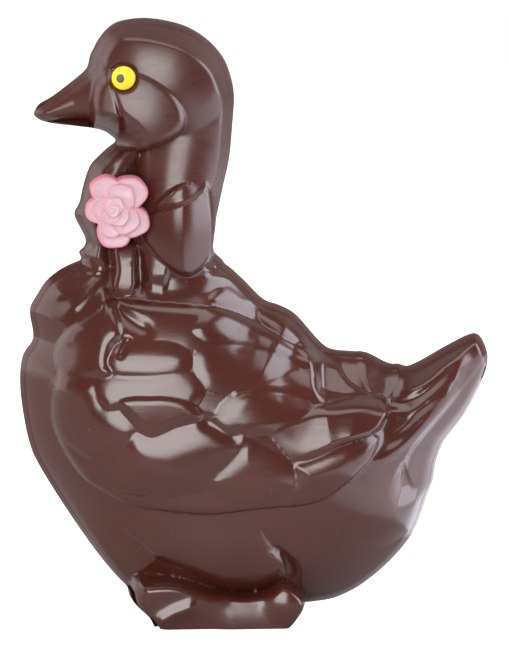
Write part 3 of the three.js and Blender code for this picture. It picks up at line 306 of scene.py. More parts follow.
# Ridges and, with a negative lift, creases: path, width and lift.
TAIL_RIDGES = [
    ([(38.5, 66.5), (48.5, 71), (59.5, 78.5), (65, 83)], 1.5, 1.3),
    ([(40, 60.5), (50, 67.5), (60, 76.5), (65.5, 80.5)], 1.6, 1.5),
    ([(37, 56), (44.5, 61), (58.5, 72.5), (64, 78.5)], 1.7, 1.5),
    ([(33, 50), (43.5, 55.5), (54.5, 66), (62.5, 74.5)], 2.0, 2.0),
]
FOLDS = {
    "knot_crease": ([(-34.5, 114), (-34.4, 107), (-34.5, 99)], 0.9, -1.0),
    "under_near_loop": ([(-33.5, 105), (-30, 105.5), (-26, 105)], 4.0, 1.2),
    "behind_great_covert": ([(-19, 65), (-14, 62.5), (-10, 60), (-5, 58.5)], 2.0, -0.9),
    "under_knot": ([(-38.5, 113), (-38, 109), (-37.5, 106.5)], 0.8, -0.9),
    "behind_thigh": ([(1.7, 26.3), (7, 22.5), (9.8, 17.5), (9.8, 13)], 1.5, -1.2),
    "breast_hollow": ([(-43, 102.5), (-42.5, 98.5), (-40.5, 95), (-35.5, 91.5), (-30, 89.5)], 2.2, -1.2),
    "shoulder_crease": ([(-38, 89), (-40, 85.5), (-42, 82)], 1.0, -0.7),
    "front_row_crease": ([(-58, 56.5), (-54.5, 54), (-50.5, 51.5), (-47, 51.5)], 1.0, -0.5),
    "under_great_covert": (
        [(-52, 47.5), (-46.5, 45), (-40.5, 43), (-33.5, 42.5), (-30, 42.5)], 1.0, -0.6),
    "upper_ribbon_fold": ([(-45.5, 112.5), (-49, 104.5), (-55.5, 100), (-63, 98)], 1.5, 1.3),
    "lower_ribbon_fold": ([(-43, 111.5), (-47, 103.5), (-53, 97.5), (-59, 92.5)], 1.8, 1.2),
    "front_loop_hollow": ([(-43, 140), (-46.5, 132.5), (-48, 126.5)], 2.0, -1.2),
}


def ease(t):
    t = np.clip(t, 0, 1)
    return t * t * (3 - 2 * t)


def larger(a, b, rounding):
    """The larger of two heights, with the corner between them rounded over a width."""
    near = np.maximum(rounding - np.abs(a - b), 0) / rounding
    return np.maximum(a, b) + near * near * rounding * 0.25


def smaller(a, b, rounding):
    return -larger(-a, -b, rounding)


def smooth_curve(points, closed=False, steps=4):
    """A curve through the points that turns smoothly at each."""
    p = np.array(points, float)
    p = np.vstack([p[-1], p, p[:2]]) if closed else np.vstack([2 * p[0] - p[1], p, 2 * p[-1] - p[-2]])
    t = np.linspace(0, 1, steps, endpoint=False)[:, None]
    spans = []
    for a, b, c, d in zip(p, p[1:], p[2:], p[3:]):
        square, cube = 2 * a - 5 * b + 4 * c - d, 3 * b - a - 3 * c + d
        spans.append(0.5 * (2 * b + (c - a) * t + square * t**2 + cube * t**3))
    return np.vstack(spans if closed else spans + [p[-2:-1]])


def inside(x, z, loop):
    """Distance to a closed curve, positive inside."""
    nearest = np.full(x.shape, np.inf)
    within = np.zeros(x.shape, bool)
    for (ax, az), (bx, bz) in zip(loop, np.roll(loop, -1, 0)):
        ex, ez = bx - ax, bz - az
        t = np.clip(((x - ax) * ex + (z - az) * ez) / (ex * ex + ez * ez + 1e-12), 0, 1)
        nearest = np.minimum(nearest, (x - ax - t * ex) ** 2 + (z - az - t * ez) ** 2)
        if az != bz:
            within ^= ((az > z) != (bz > z)) & (x < ex * (z - az) / ez + ax)
    return np.sqrt(nearest) * np.where(within, 1, -1)


def near_path(x, z, path):
    """Distance to an open path, and how far along it the nearest point is, from 0 to 1."""
    lengths = np.hypot(*np.diff(path, axis=0).T)
    off, where, walked = np.full(x.shape, np.inf), np.zeros(x.shape), 0.0
    for a, b, length in zip(path[:-1], path[1:], lengths):
        ex, ez = (b - a) / length
        t = np.clip((x - a[0]) * ex + (z - a[1]) * ez, 0, length)
        d = np.hypot(x - a[0] - t * ex, z - a[1] - t * ez)
        closer = d < off
        off = np.where(closer, d, off)
        where = np.where(closer, walked + t, where)
        walked += length
    return off, where / walked


def only_near(x, z, path, reach, lift):
    """Works out a small form only where it can reach."""
    (x0, z0), (x1, z1) = path.min(0) - reach, path.max(0) + reach
    m = (x > x0) & (x < x1) & (z > z0) & (z < z1)
    height = np.zeros(x.shape)
    if m.any():
        height[m] = lift(x[m], z[m])
    return height


def stations(values, s):
    return np.interp(s, np.linspace(0, 1, len(values)), values)


def cushion(d, lift, width):
    """Rises from 0 at its outline to its full lift as a quarter round."""
    return lift * np.sqrt(1 - (1 - np.clip(d / width, 0, 1)) ** 2)


def pillow(d, lift, width):
    """Rises from 0 at its outline at an even slope that eases off at its full lift."""
    return lift * (1 - (1 - np.clip(d / width, 0, 1)) ** 2)


def swell(x, z, face):
    """A shallow bulge of even curvature."""
    return face.depth - ((x - face.x) ** 2 + (z - face.z) ** 2) / (2 * face.radius)


def edge_of(d, face):
    """A face's rounded edge: 0 once it is up to the full height, and falling away outside the outline."""
    return cushion(d, face.edge, face.width) - face.edge + face.fall * np.minimum(d, 0)


def round_form(x, z, form, fullness=0.5, smooth=False):
    """A rounded form along a spine, which drops away steeply outside its radius."""
    spine, radii, depths = form
    off, s = near_path(x, z, smooth_curve(spine) if smooth else np.array(spine, float))
    q = off / stations(radii, s)
    return np.where(q < 1, stations(depths, s) * np.maximum(1 - q * q, 0) ** fullness,
                    -(q - 1) * stations(radii, s) * 2)


def feather(x, z, loop, lift, width, rise_back, rise_up):
    """A feather a little wider than its outline, so that it meets its neighbours in a crease."""
    middle_x, middle_z = loop.mean(0)
    grown = 1 + rise_back * (x - middle_x) + rise_up * (z - middle_z)
    return pillow(inside(x, z, loop) + FEATHER_OVERLAP, lift, width) * grown


def ridge(x, z, path, width, lift):
    off, s = near_path(x, z, path)
    return lift * ease(s / RUN_OUT) * ease((1 - s) / RUN_OUT) * np.exp(-((off / width) ** 2))


def ridge_height(x, z, path, width, lift):
    """A ridge, worked out only where it can reach."""
    return only_near(x, z, path, RIDGE_REACH * width, lambda u, v: ridge(u, v, path, width, lift))


def rim_half(x):
    return RIM - (RIM - RIM_AT_TIPS) * ease((TIPS_FROM - x) / TIPS_OVER)


def edge_limit(d, x, depth, reach):
    """The highest that anything may stand at this distance from the seam."""
    rim = rim_half(x)
    over = rim + pillow(d - DRAFT, depth - rim, reach)
    return smaller(rim / DRAFT * np.minimum(d, WALL_TOP), over, RIM_ROUNDING)


seam_loops = {name: smooth_curve(points, closed=True) for name, points in SEAM_OUTLINES.items()}
head, cheek, wing, near_loop, mouth, knot_fold, thigh, foot = (
    smooth_curve(points, closed=True)
    for points in (HEAD, CHEEK, WING, NEAR_LOOP, LOOP_MOUTH, KNOT_FOLD, THIGH, FOOT))
feathers = [(smooth_curve(outline, closed=True), *shape) for outline, *shape in FEATHERS.values()]
tail_ridges = [(smooth_curve(path), width, lift) for path, width, lift in TAIL_RIDGES]
folds = [(smooth_curve(path), width, lift) for path, width, lift in FOLDS.values()]


def seam_distance(x, z):
    """Distance to the outline of the whole figure in the seam plane, positive inside."""
    d = None
    for loop in seam_loops.values():
        d = inside(x, z, loop) if d is None else larger(d, inside(x, z, loop), SEAM_BLEND)
    return d - SHRINKAGE


def full_body(x, z):
    """The fullness of the body, deepest low down and a little towards the breast."""
    across = np.abs(x - FULLNESS.x) / np.where(x < FULLNESS.x, FULLNESS.to_breast, FULLNESS.to_tail)
    up = (z - FULLNESS.z) / FULLNESS.up
    swollen = FULLNESS.depth * np.sqrt(np.maximum(1 - across**3 - up**2, 0))
    return larger(swollen, FULLNESS.least, rounding=6)


def body_forms(x, z, d):
    """The large forms: body, rump, tail, neck, head, beak and the bow's front loop."""
    in_body = np.minimum(inside(x, z, seam_loops["body"]), d + BODY_REACH)
    h = smaller(edge_limit(in_body, x, BODY_DEPTH, BODY_ROUNDING), full_body(x, z), rounding=4)
    h = larger(h, round_form(x, z, RUMP), rounding=7)
    h = larger(h, round_form(x, z, TAIL), rounding=5)
    h = larger(h, round_form(x, z, NECK, smooth=True), rounding=4)
    h = larger(h, swell(x, z, HEAD_FACE) + edge_of(inside(x, z, head), HEAD_FACE), rounding=3)
    h = larger(h, swell(x, z, CHEEK_FACE) + edge_of(inside(x, z, cheek), CHEEK_FACE), rounding=0.6)
    h = larger(h, round_form(x, z, BEAK, fullness=0.62), rounding=1.6)
    return larger(h, round_form(x, z, FRONT_LOOP), rounding=1.5)


def sloping_edge(x, z, d):
    """The highest that the rump and the tail's underside may stand."""
    across = ease((x - RUMP_RANGE.start) / RUMP_RANGE.fade_in)
    across = across * ease((RUMP_RANGE.end - x) / RUMP_RANGE.fade_out)
    on_rump = across * ease((z - RUMP_RANGE.low) / RUMP_RANGE.up)
    below = (x - UNDER_TAIL.x) * UNDER_TAIL.across - (z - UNDER_TAIL.z) * UNDER_TAIL.along
    under_tail = ease(below / UNDER_TAIL.fade) * ease((z - UNDER_TAIL.low) / UNDER_TAIL.up)
    slope = SLOPE.foot + SLOPE.rise * (d - DRAFT) + SLOPE.more * np.maximum(d - SLOPE.deep, 0)
    return slope + SLOPE.elsewhere * (1 - np.maximum(on_rump, under_tail))


def bow_loop(x, z, in_loop):
    """The near loop of the bow, with the hollow of its mouth."""
    across = (x - LOOP_FACE.x) * np.where(x < LOOP_FACE.x, LOOP_FACE.to_knot, LOOP_FACE.to_neck)
    sag = ((z - LOOP_FACE.z) / LOOP_FACE.height) ** 2 * LOOP_FACE.sag
    hollow = cushion(inside(x, z, mouth), LOOP_FACE.mouth, LOOP_FACE.mouth)
    return LOOP_FACE.depth - np.hypot(LOOP_FACE.crest, across) - sag - hollow + edge_of(in_loop, LOOP_FACE)


def foot_form(x, z, in_foot):
    """The foot: toes, the rounder heel with its knob, and the ridge between the toes."""
    to_heel = ease((x - FOOT_FACE.heel) / FOOT_FACE.turn)
    toes = FOOT_FACE.depth - FOOT_FACE.toe_slope * (FOOT_FACE.toe_top - z)
    heel = FOOT_FACE.depth - z**2 / (2 * FOOT_FACE.radius)
    face = larger(toes + (heel - toes) * to_heel, swell(x, z, KNOB), rounding=1.5)
    edge = FOOT_FACE.edge + (FOOT_FACE.heel_edge - FOOT_FACE.edge) * to_heel
    return face + ridge(x, z, *TOE_RIDGE) + cushion(in_foot, FOOT_FACE.rise, edge) - FOOT_FACE.rise


def eye_socket(x, z):
    off = np.hypot(x - EYE_X, z - EYE_Z)
    return SOCKET * ease((EYE_RADIUS + SOCKET_MARGIN - off) / SOCKET_EDGE)


def depth_at(x, z, d):
    """Half thickness of the goose over the seam plane."""
    h = smaller(body_forms(x, z, d), edge_limit(d, x, LARGEST_DEPTH, EDGE_ROUNDING), rounding=1)
    h = smaller(h, sloping_edge(x, z, d), rounding=4)
    clear_of_rim = ease((d - DRAFT) / RIM_BORDER)
    in_wing = inside(x, z, wing)
    plumage = np.zeros(x.shape)
    for loop, *shape in feathers:
        raised = only_near(x, z, loop, FEATHER_REACH, lambda u, v: feather(u, v, loop, *shape))
        plumage = np.where(raised > 0, larger(plumage, raised, FEATHER_CREASE), plumage)
    h = h + clear_of_rim * (cushion(in_wing, WING_LIFT, WING_EDGE) + plumage)
    for path, width, lift in tail_ridges:
        off_wing = ease((RIDGE_FADE - in_wing) / RIDGE_FADE) * ease((d - DRAFT) / RIDGE_FADE)
        h = h + ridge_height(x, z, path, width, lift) * off_wing
    for path, width, lift in folds:
        h = h + clear_of_rim * ridge_height(x, z, path, width, lift)
    in_loop = inside(x, z, near_loop)
    over_loop = larger(h, bow_loop(x, z, in_loop), rounding=0.8)
    h = np.where((in_loop > -SKIRT) & (d > LOOP_RIM), over_loop, h)
    in_fold = inside(x, z, knot_fold)
    over_knot = larger(h, swell(x, z, KNOT_FACE) + edge_of(in_fold, KNOT_FACE), rounding=1.5)
    h = np.where((in_fold > -SKIRT) & (d > DRAFT), over_knot, h)
    in_thigh = inside(x, z, thigh)
    h = h + cushion(in_thigh, THIGH_LIFT, THIGH_EDGE) * ease((THIGH_TOP - z) / THIGH_FADE) * clear_of_rim
    in_foot = inside(x, z, foot)
    over_foot = larger(h, foot_form(x, z, in_foot), rounding=1)
    return np.where((in_foot > -FOOT_SKIRT) & (d > DRAFT), over_foot, h) - eye_socket(x, z)


def settle(x, z, level):
    """Moves points straight in or out until they are this far inside the seam."""
    small = 0.02
    for _ in range(2):
        d = seam_distance(x, z)
        slope_x, slope_z = seam_distance(x + small, z) - d, seam_distance(x, z + small) - d
        step = (level - d) / np.hypot(slope_x, slope_z)
        x, z = x + step * slope_x, z + step * slope_z
    return x, z


# The net: points round the seam, rings of them that follow it in over the rim's rounded edge, and a
# staggered net over the rest, twice as fine wherever the relief turns sharply.
STRIDE, SEAM_CELL = 0.6, 0.5  # steps along the seam, and the cells that it is followed through
LEFT, RIGHT, BOTTOM, TOP = -72, 74, -9, 184
RINGS = [0, 0.5, 0.9, 1.2, 1.45, 1.65, 1.85, 2.1, 2.45, 2.9]
RING_GAP = 0.35  # between the last ring and the net
COARSE = 0.92
FINE = COARSE / 2
NET_ROWS, NET_COLUMNS = range(-24, 480), range(-8, 330)
SHARP = 0.05  # the net is fine where a point stands this far off the line between its neighbours


def walk_seam():
    """The seam as an ordered ring of even steps: it is followed from cell to cell of a square net."""
    xs, zs = np.arange(LEFT, RIGHT, SEAM_CELL), np.arange(BOTTOM, TOP, SEAM_CELL)
    solid = seam_distance(*np.meshgrid(xs, zs, indexing="ij")) > 0
    corners = solid[:-1, :-1].astype(int) + solid[1:, :-1] + solid[1:, 1:] + solid[:-1, 1:]
    crossed = {(i, j) for i, j in np.argwhere((corners > 0) & (corners < 4))}
    at = start = max(crossed, key=lambda cell: cell[1])
    before, walk = None, []
    while at != start or not walk:
        walk.append(at)
        i, j = at
        sides = [
            (solid[i, j] != solid[i + 1, j], (i, j - 1)),
            (solid[i + 1, j] != solid[i + 1, j + 1], (i + 1, j)),
            (solid[i, j + 1] != solid[i + 1, j + 1], (i, j + 1)),
            (solid[i, j] != solid[i, j + 1], (i - 1, j))]
        ways = [cell for crossing, cell in sides if crossing and cell != before]
        before, at = at, ways[0]
    x, z = settle(*np.array([(xs[i] + SEAM_CELL / 2, zs[j] + SEAM_CELL / 2) for i, j in walk]).T, 0)
    x, z = np.append(x, x[0]), np.append(z, z[0])
    walked = np.concatenate([[0], np.cumsum(np.hypot(np.diff(x), np.diff(z)))])
    even = np.linspace(0, walked[-1], int(walked[-1] / STRIDE), endpoint=False)
    return settle(np.interp(even, walked, x), np.interp(even, walked, z), 0)


seam_x, seam_z = walk_seam()
rows, columns = np.meshgrid(NET_ROWS, NET_COLUMNS, indexing="ij")
net_x = LEFT + (columns + (rows % 2) / 2) * FINE
net_z = rows * FINE * math.sqrt(0.75)
net_d = seam_distance(net_x, net_z)
solid = net_d > 0
net_h = np.zeros(net_x.shape)
net_h[solid] = depth_at(net_x[solid], net_z[solid], net_d[solid])
# How sharply the relief turns. Every second row is sqrt(3) times as far off as the next column, so the
# same bend stands off 3 times as far there.
turn = np.zeros(net_x.shape)
turn[:, 1:-1] = np.abs(net_h[:, 2:] + net_h[:, :-2] - 2 * net_h[:, 1:-1])
turn[2:-2] = np.maximum(turn[2:-2], np.abs(net_h[4:] + net_h[:-4] - 2 * net_h[2:-2]) / 3)
for _ in range(2):
    turn[1:-1, 1:-1] = np.maximum.reduce([
        turn[1:-1, 1:-1], turn[:-2, 1:-1], turn[2:, 1:-1], turn[1:-1, :-2], turn[1:-1, 2:]])
on_coarse_net = (rows % 2 == 0) & ((columns + rows // 2) % 2 == 0)
kept = (net_d > RINGS[-1] + RING_GAP) & (on_coarse_net | (turn > SHARP))

rings = [(seam_x, seam_z)]
for level in RINGS[1:]:
    rings.append(settle(*rings[-1], level))
points = np.vstack([np.column_stack(ring) for ring in rings + [(net_x[kept], net_z[kept])]])
levels = np.concatenate([np.repeat(RINGS, len(seam_x)), net_d[kept]])
heights = depth_at(points[:, 0], points[:, 1], levels)
heights[:len(seam_x)] = 0
seam_ring, inside_only = [list(range(len(seam_x)))], 1
_, _, triangles, origins, _, _ = delaunay_2d_cdt(
    [Vector(p) for p in points], [], seam_ring, inside_only, 1e-5)
numbers = [origin[0] for origin in origins]
half = bpy.data.meshes.new("goose_half")
half.from_pydata(
    [(MM * points[i][0], -MM * heights[i], MM * points[i][1]) for i in numbers], [],
    [list(reversed(t)) for t in triangles])
goose = bpy.data.objects.new("chocolate_goose", half)
bpy.context.collection.objects.link(goose)
bpy.ops.object.select_all(action="DESELECT")
bpy.context.view_layer.objects.active = goose
goose.select_set(True)
mirror = goose.modifiers.new("other_half", "MIRROR")
mirror.use_axis = (False, True, False)
mirror.merge_threshold = 1e-6
bpy.ops.object.modifier_apply(modifier=mirror.name)
bpy.ops.object.mode_set(mode="EDIT")
bpy.ops.mesh.select_all(action="SELECT")
bpy.ops.mesh.bisect(plane_co=(0, 0, 0), plane_no=(0, 0, 1), use_fill=True, clear_inner=True, threshold=1e-6)
bpy.ops.mesh.select_all(action="SELECT")
bpy.ops.mesh.normals_make_consistent(inside=False)
bpy.ops.object.mode_set(mode="OBJECT")
bpy.ops.object.shade_smooth_by_angle(angle=math.radians(60))

# Dark chocolate: glossy where it lay on the polished mould, with faint clouds of cocoa butter, flow waves,
# long hair-fine polishing marks and a few specks of dust. The head and neck came out duller.
DARK_BROWN, WARM_BROWN = (0.050, 0.011, 0.0065, 1), (0.062, 0.0142, 0.0086, 1)
DUST = (0.16, 0.11, 0.09, 1)
POLISHED, SCUFFED = 0.15, 0.25  # roughness off and on the polishing marks
HEAD_DULLNESS, DULL_FROM, DULL_TO = 0.12, 0.115, 0.14  # it comes in between these heights, in metres
MARK_HEIGHT, WAVE_HEIGHT = 0.000004, 0.00006
MARKS_STRETCH, MARKS_TILT = (160, 900, 3600), 0.12
MARKS_FROM, MARKS_TO = 0.3, 0.7  # the part of each noise's range that shows
CLOUDS_FROM, CLOUDS_TO = 0.35, 0.65
SPECK_CORE, SPECK_EDGE = 0.02, 0.045  # of a cell of the specks' pattern
chocolate = bpy.data.materials.new("dark_chocolate")
chocolate.use_nodes = True
choc_nodes, choc_links = chocolate.node_tree.nodes, chocolate.node_tree.links
choc_shader = choc_nodes["Principled BSDF"]
choc_shader.inputs["IOR"].default_value = 1.6
choc_place = choc_nodes.new("ShaderNodeTexCoord")


def chocolate_noise(scale, detail, stretch=None, tilt=0):
    """A noise texture in the goose's own coordinates, drawn out along a tilted line when stretched."""
    noise = choc_nodes.new("ShaderNodeTexNoise")
    noise.inputs["Scale"].default_value = scale
    noise.inputs["Detail"].default_value = detail
    source = choc_place.outputs["Object"]
    if stretch:
        mapping = choc_nodes.new("ShaderNodeMapping")
        mapping.inputs["Scale"].default_value = stretch
        mapping.inputs["Rotation"].default_value = (0, tilt, 0)
        choc_links.new(source, mapping.inputs["Vector"])
        source = mapping.outputs["Vector"]
    choc_links.new(source, noise.inputs["Vector"])
    return noise.outputs["Fac"]


def spread(value, low, high, new_low, new_high):
    """Maps a stretch of values onto another, and holds the rest at its ends."""
    change = choc_nodes.new("ShaderNodeMapRange")
    for name, number in (("From Min", low), ("From Max", high), ("To Min", new_low), ("To Max", new_high)):
        change.inputs[name].default_value = number
    choc_links.new(value, change.inputs["Value"])
    return change.outputs["Result"]


def raise_by(value, distance, before=None):
    """A bump of this height in metres, on top of the one before."""
    bump = choc_nodes.new("ShaderNodeBump")
    bump.inputs["Distance"].default_value = distance
    choc_links.new(value, bump.inputs["Height"])
    if before:
        choc_links.new(before, bump.inputs["Normal"])
    return bump.outputs["Normal"]


def blend_colours(factor, first, second):
    """Mixes two colours, each given as a value or as another mix."""
    mix = choc_nodes.new("ShaderNodeMix")
    mix.data_type = "RGBA"
    choc_links.new(factor, mix.inputs["Factor"])
    for name, colour in (("A", first), ("B", second)):
        if isinstance(colour, tuple):
            mix.inputs[name].default_value = colour
        else:
            choc_links.new(colour, mix.inputs[name])
    return mix.outputs["Result"]


clouds = chocolate_noise(scale=45, detail=3)
waves = chocolate_noise(scale=130, detail=1.5)
marks = chocolate_noise(scale=1, detail=4, stretch=MARKS_STRETCH, tilt=MARKS_TILT)
specks = choc_nodes.new("ShaderNodeTexVoronoi")
specks.inputs["Scale"].default_value = 210
choc_links.new(choc_place.outputs["Object"], specks.inputs["Vector"])
dust = spread(specks.outputs["Distance"], SPECK_CORE, SPECK_EDGE, 1, 0)
brown = blend_colours(spread(clouds, CLOUDS_FROM, CLOUDS_TO, 0, 1), DARK_BROWN, WARM_BROWN)
choc_links.new(blend_colours(dust, brown, DUST), choc_shader.inputs["Base Color"])
axes = choc_nodes.new("ShaderNodeSeparateXYZ")
choc_links.new(choc_place.outputs["Object"], axes.inputs["Vector"])
roughness = choc_nodes.new("ShaderNodeMath")
choc_links.new(spread(marks, MARKS_FROM, MARKS_TO, POLISHED, SCUFFED), roughness.inputs[0])
choc_links.new(spread(axes.outputs["Z"], DULL_FROM, DULL_TO, 0, HEAD_DULLNESS), roughness.inputs[1])
choc_links.new(roughness.outputs["Value"], choc_shader.inputs["Roughness"])
polish = raise_by(marks, MARK_HEIGHT)
choc_links.new(raise_by(waves, WAVE_HEIGHT, polish), choc_shader.inputs["Normal"])
goose.data.materials.append(chocolate)
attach(goose, "root")
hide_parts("goose")

# ---------------------------------------------------------------------------------------------------
# Sugar rose: one piece of pale pink sugar paste pressed in a rose mould, so it is a low relief with a flat
# back, glued on the knot with a dab of chocolate. Petals overlap in three rings round an open bud.
ROSE_X, ROSE_Z, ROSE_BACK, ROSE_ROUNDING = -41.3, 124.3, 11.6, 1.0
OUTER_PETALS = 5
INNER_LIP, INNER_TINT_AND_SHADE = 0.55, 0.6  # the inner petals' lips are this much narrower, and paler: they get less of the deeper pink and painted shade
TINT_AND_SHADE_FROM = 0.62  # a petal turns deeper pink from this share of its radius on: partly the paste's own tint, partly painted shade at the crevice where it falls to the petal below
LONG_WAVE, SHORT_WAVE = 0.035, 0.025  # how far a petal's outline waves in and out, as a share
ROSE_REACH, RADIUS_TRIALS = 13, 520  # the rose's edge is looked for out to here, in so many steps
THINNEST, EDGE_THICKNESS = 0.02, 0.05
SPOKES, STEPS, CROWDING = 288, 84, 1.25  # the net's rings lie closer together towards the edge
# The deeper pink is partly the paste's own tint at the petals' edges, partly painted shade in the crevices
# between petals.
PALE_PINK, LIP_PINK_AND_SHADE = (0.6, 0.42, 0.47, 1), (0.58, 0.2, 0.25, 1)
SOFT_GRAIN = {
    "Patch Scale": 900, "Patch Detail": 5, "Grain Scale": 900, "Grain Detail": 5, "Grain Height": 0.00004,
    "Smoothest": 0.5, "Dullest": 0.78}
# Each petal: its middle from the rose's middle, radius, height of its lip, depth of its cup, and how
# far it leans so that one side lies over its neighbour.
PETALS = [
    ((-3.2, 6.1), 4.9, 16.6, 1.0, 0.10), ((3.6, 5.5), 5.3, 16.9, 1.2, -0.08),
    ((4.6, -2.9), 5.0, 17.2, 1.2, 0.06), ((-0.9, -6.0), 5.2, 16.7, 1.1, -0.08),
    ((-5.1, 0.4), 4.4, 16.5, 0.9, 0.08),
    ((0.5, 4.2), 4.6, 18.6, 1.3, -0.07), ((-4.3, 1.4), 3.8, 18.2, 1.0, 0.08),
    ((-2.0, -3.3), 4.1, 18.4, 1.1, 0.06), ((1.9, -1.9), 4.5, 18.8, 1.3, -0.06),
    ((-2.3, 0.4), 3.5, 20.1, 1.1, 0.07), ((-0.2, -0.4), 3.6, 20.3, 1.2, -0.08),
    ((-1.1, 2.4), 2.8, 20.6, 1.0, 0.05),
    ((-1.5, 1.0), 2.0, 21.6, 0.9, 0.12), ((-1.9, 1.2), 0.9, 22.2, 0.5, 0.15)]


def rose_relief(u, v):
    """Height of the rose above its flat back, and how near its petal's lip each point is: the deeper pink
    there is partly the paste's tint, partly painted shade.
    """
    top, lip_shading = np.full(u.shape, -1.0), np.zeros(u.shape)
    for number, ((cx, cz), radius, lip, cup, lean) in enumerate(PETALS):
        outer = number < OUTER_PETALS
        du, dv = u - cx, v - cz
        angle = np.arctan2(dv, du)
        wavy = radius * (1 + LONG_WAVE * np.sin(3 * angle + number)
                         + SHORT_WAVE * np.sin(5 * angle + 2 * number))
        q = np.hypot(du, dv) / wavy
        sideways = (cx * dv - cz * du) / math.hypot(cx, cz)
        lip_width = ROSE_ROUNDING / radius * (1 if outer else INNER_LIP)
        fall = np.sqrt(1 - np.clip((q - 1 + lip_width) / lip_width, 0, 1) ** 2)
        petal = (lip - ROSE_BACK - cup * np.maximum(1 - q * q, 0) + lean * sideways) * fall
        # deeper pink towards the lip: partly the paste's tint, partly painted shade in the crevice between
        # petals
        lip_tint_and_shade = ease((q - TINT_AND_SHADE_FROM) / (1 - TINT_AND_SHADE_FROM)) * (1 if outer else INNER_TINT_AND_SHADE)
        over = petal > top
        top = np.where(over, petal, top)
        lip_shading = np.where(over, lip_tint_and_shade, lip_shading)
    return top, lip_shading


spoke = np.arange(SPOKES) * 2 * math.pi / SPOKES
trial = np.linspace(0, ROSE_REACH, RADIUS_TRIALS)
trial_height, _ = rose_relief(np.outer(np.cos(spoke), trial), np.outer(np.sin(spoke), trial))
reach = trial[np.array([np.nonzero(row)[0].max() for row in trial_height > THINNEST])]
way_out = 1 - (1 - np.linspace(0, 1, STEPS + 1)[1:]) ** CROWDING
radii = np.outer(reach, way_out)
rose_u, rose_v = radii * np.cos(spoke)[:, None], radii * np.sin(spoke)[:, None]
rose_height, rose_lip_shading = rose_relief(rose_u, rose_v)
rose_height[:, -1] = EDGE_THICKNESS
middle_height = rose_relief(np.zeros(1), np.zeros(1))[0][0]
verts = [(ROSE_X, -ROSE_BACK - middle_height, ROSE_Z), (ROSE_X, -ROSE_BACK, ROSE_Z)]
verts += [(ROSE_X + u, -ROSE_BACK - h, ROSE_Z + v)
          for u, v, h in zip(rose_u.flat, rose_v.flat, rose_height.flat)]
verts += [(ROSE_X + u, -ROSE_BACK, ROSE_Z + v) for u, v in zip(rose_u[:, -1], rose_v[:, -1])]
faces = []
for i in range(SPOKES):
    here, beside = 2 + i * STEPS, 2 + (i + 1) % SPOKES * STEPS
    back_here, back_beside = 2 + SPOKES * STEPS + i, 2 + SPOKES * STEPS + (i + 1) % SPOKES
    faces.append((0, here, beside))
    for j in range(STEPS - 1):
        faces.append((here + j, here + j + 1, beside + j + 1, beside + j))
    faces.append((here + STEPS - 1, back_here, back_beside, beside + STEPS - 1))
    faces.append((1, back_beside, back_here))
rose_mesh = bpy.data.meshes.new("sugar_rose")
rose_mesh.from_pydata([tuple(MM * c for c in v) for v in verts], [], faces)
# the deeper pink, partly the paste's tint and partly painted shade, is full on the rose's outer edge
lip_tint_and_shade = rose_mesh.attributes.new("lip_tint_and_shade", "FLOAT", "POINT")
lip_tint_and_shade.data.foreach_set("value", np.concatenate([[0, 0], rose_lip_shading.ravel(), np.ones(SPOKES)]))
rose = bpy.data.objects.new("sugar_rose", rose_mesh)
bpy.context.collection.objects.link(rose)
bpy.ops.object.select_all(action="DESELECT")
bpy.context.view_layer.objects.active = rose
rose.select_set(True)
bpy.ops.object.shade_smooth_by_angle(angle=math.radians(70))


def make_sugar_grain():
    """The grain of pressed sugar paste: duller and smoother patches, and a fine bump."""
    group = bpy.data.node_groups.new("sugar_grain", "ShaderNodeTree")
    for name in ("Patch Scale", "Patch Detail", "Grain Scale", "Grain Detail", "Grain Height",
                 "Smoothest", "Dullest"):
        group.interface.new_socket(name, in_out="INPUT", socket_type="NodeSocketFloat")
    for name, kind in (("Patches", "Float"), ("Roughness", "Float"), ("Normal", "Vector")):
        group.interface.new_socket(name, in_out="OUTPUT", socket_type="NodeSocket" + kind)
    nodes, links = group.nodes, group.links
    given, made = nodes.new("NodeGroupInput"), nodes.new("NodeGroupOutput")
    place = nodes.new("ShaderNodeTexCoord")
    patches, grain = nodes.new("ShaderNodeTexNoise"), nodes.new("ShaderNodeTexNoise")
    for noise, kind in ((patches, "Patch"), (grain, "Grain")):
        links.new(place.outputs["Object"], noise.inputs["Vector"])
        links.new(given.outputs[f"{kind} Scale"], noise.inputs["Scale"])
        links.new(given.outputs[f"{kind} Detail"], noise.inputs["Detail"])
    dull, bump = nodes.new("ShaderNodeMapRange"), nodes.new("ShaderNodeBump")
    links.new(patches.outputs["Fac"], dull.inputs["Value"])
    links.new(given.outputs["Smoothest"], dull.inputs["To Min"])
    links.new(given.outputs["Dullest"], dull.inputs["To Max"])
    links.new(grain.outputs["Fac"], bump.inputs["Height"])
    links.new(given.outputs["Grain Height"], bump.inputs["Distance"])
    links.new(patches.outputs["Fac"], made.inputs["Patches"])
    links.new(dull.outputs["Result"], made.inputs["Roughness"])
    links.new(bump.outputs["Normal"], made.inputs["Normal"])
    return group


sugar_grain = make_sugar_grain()


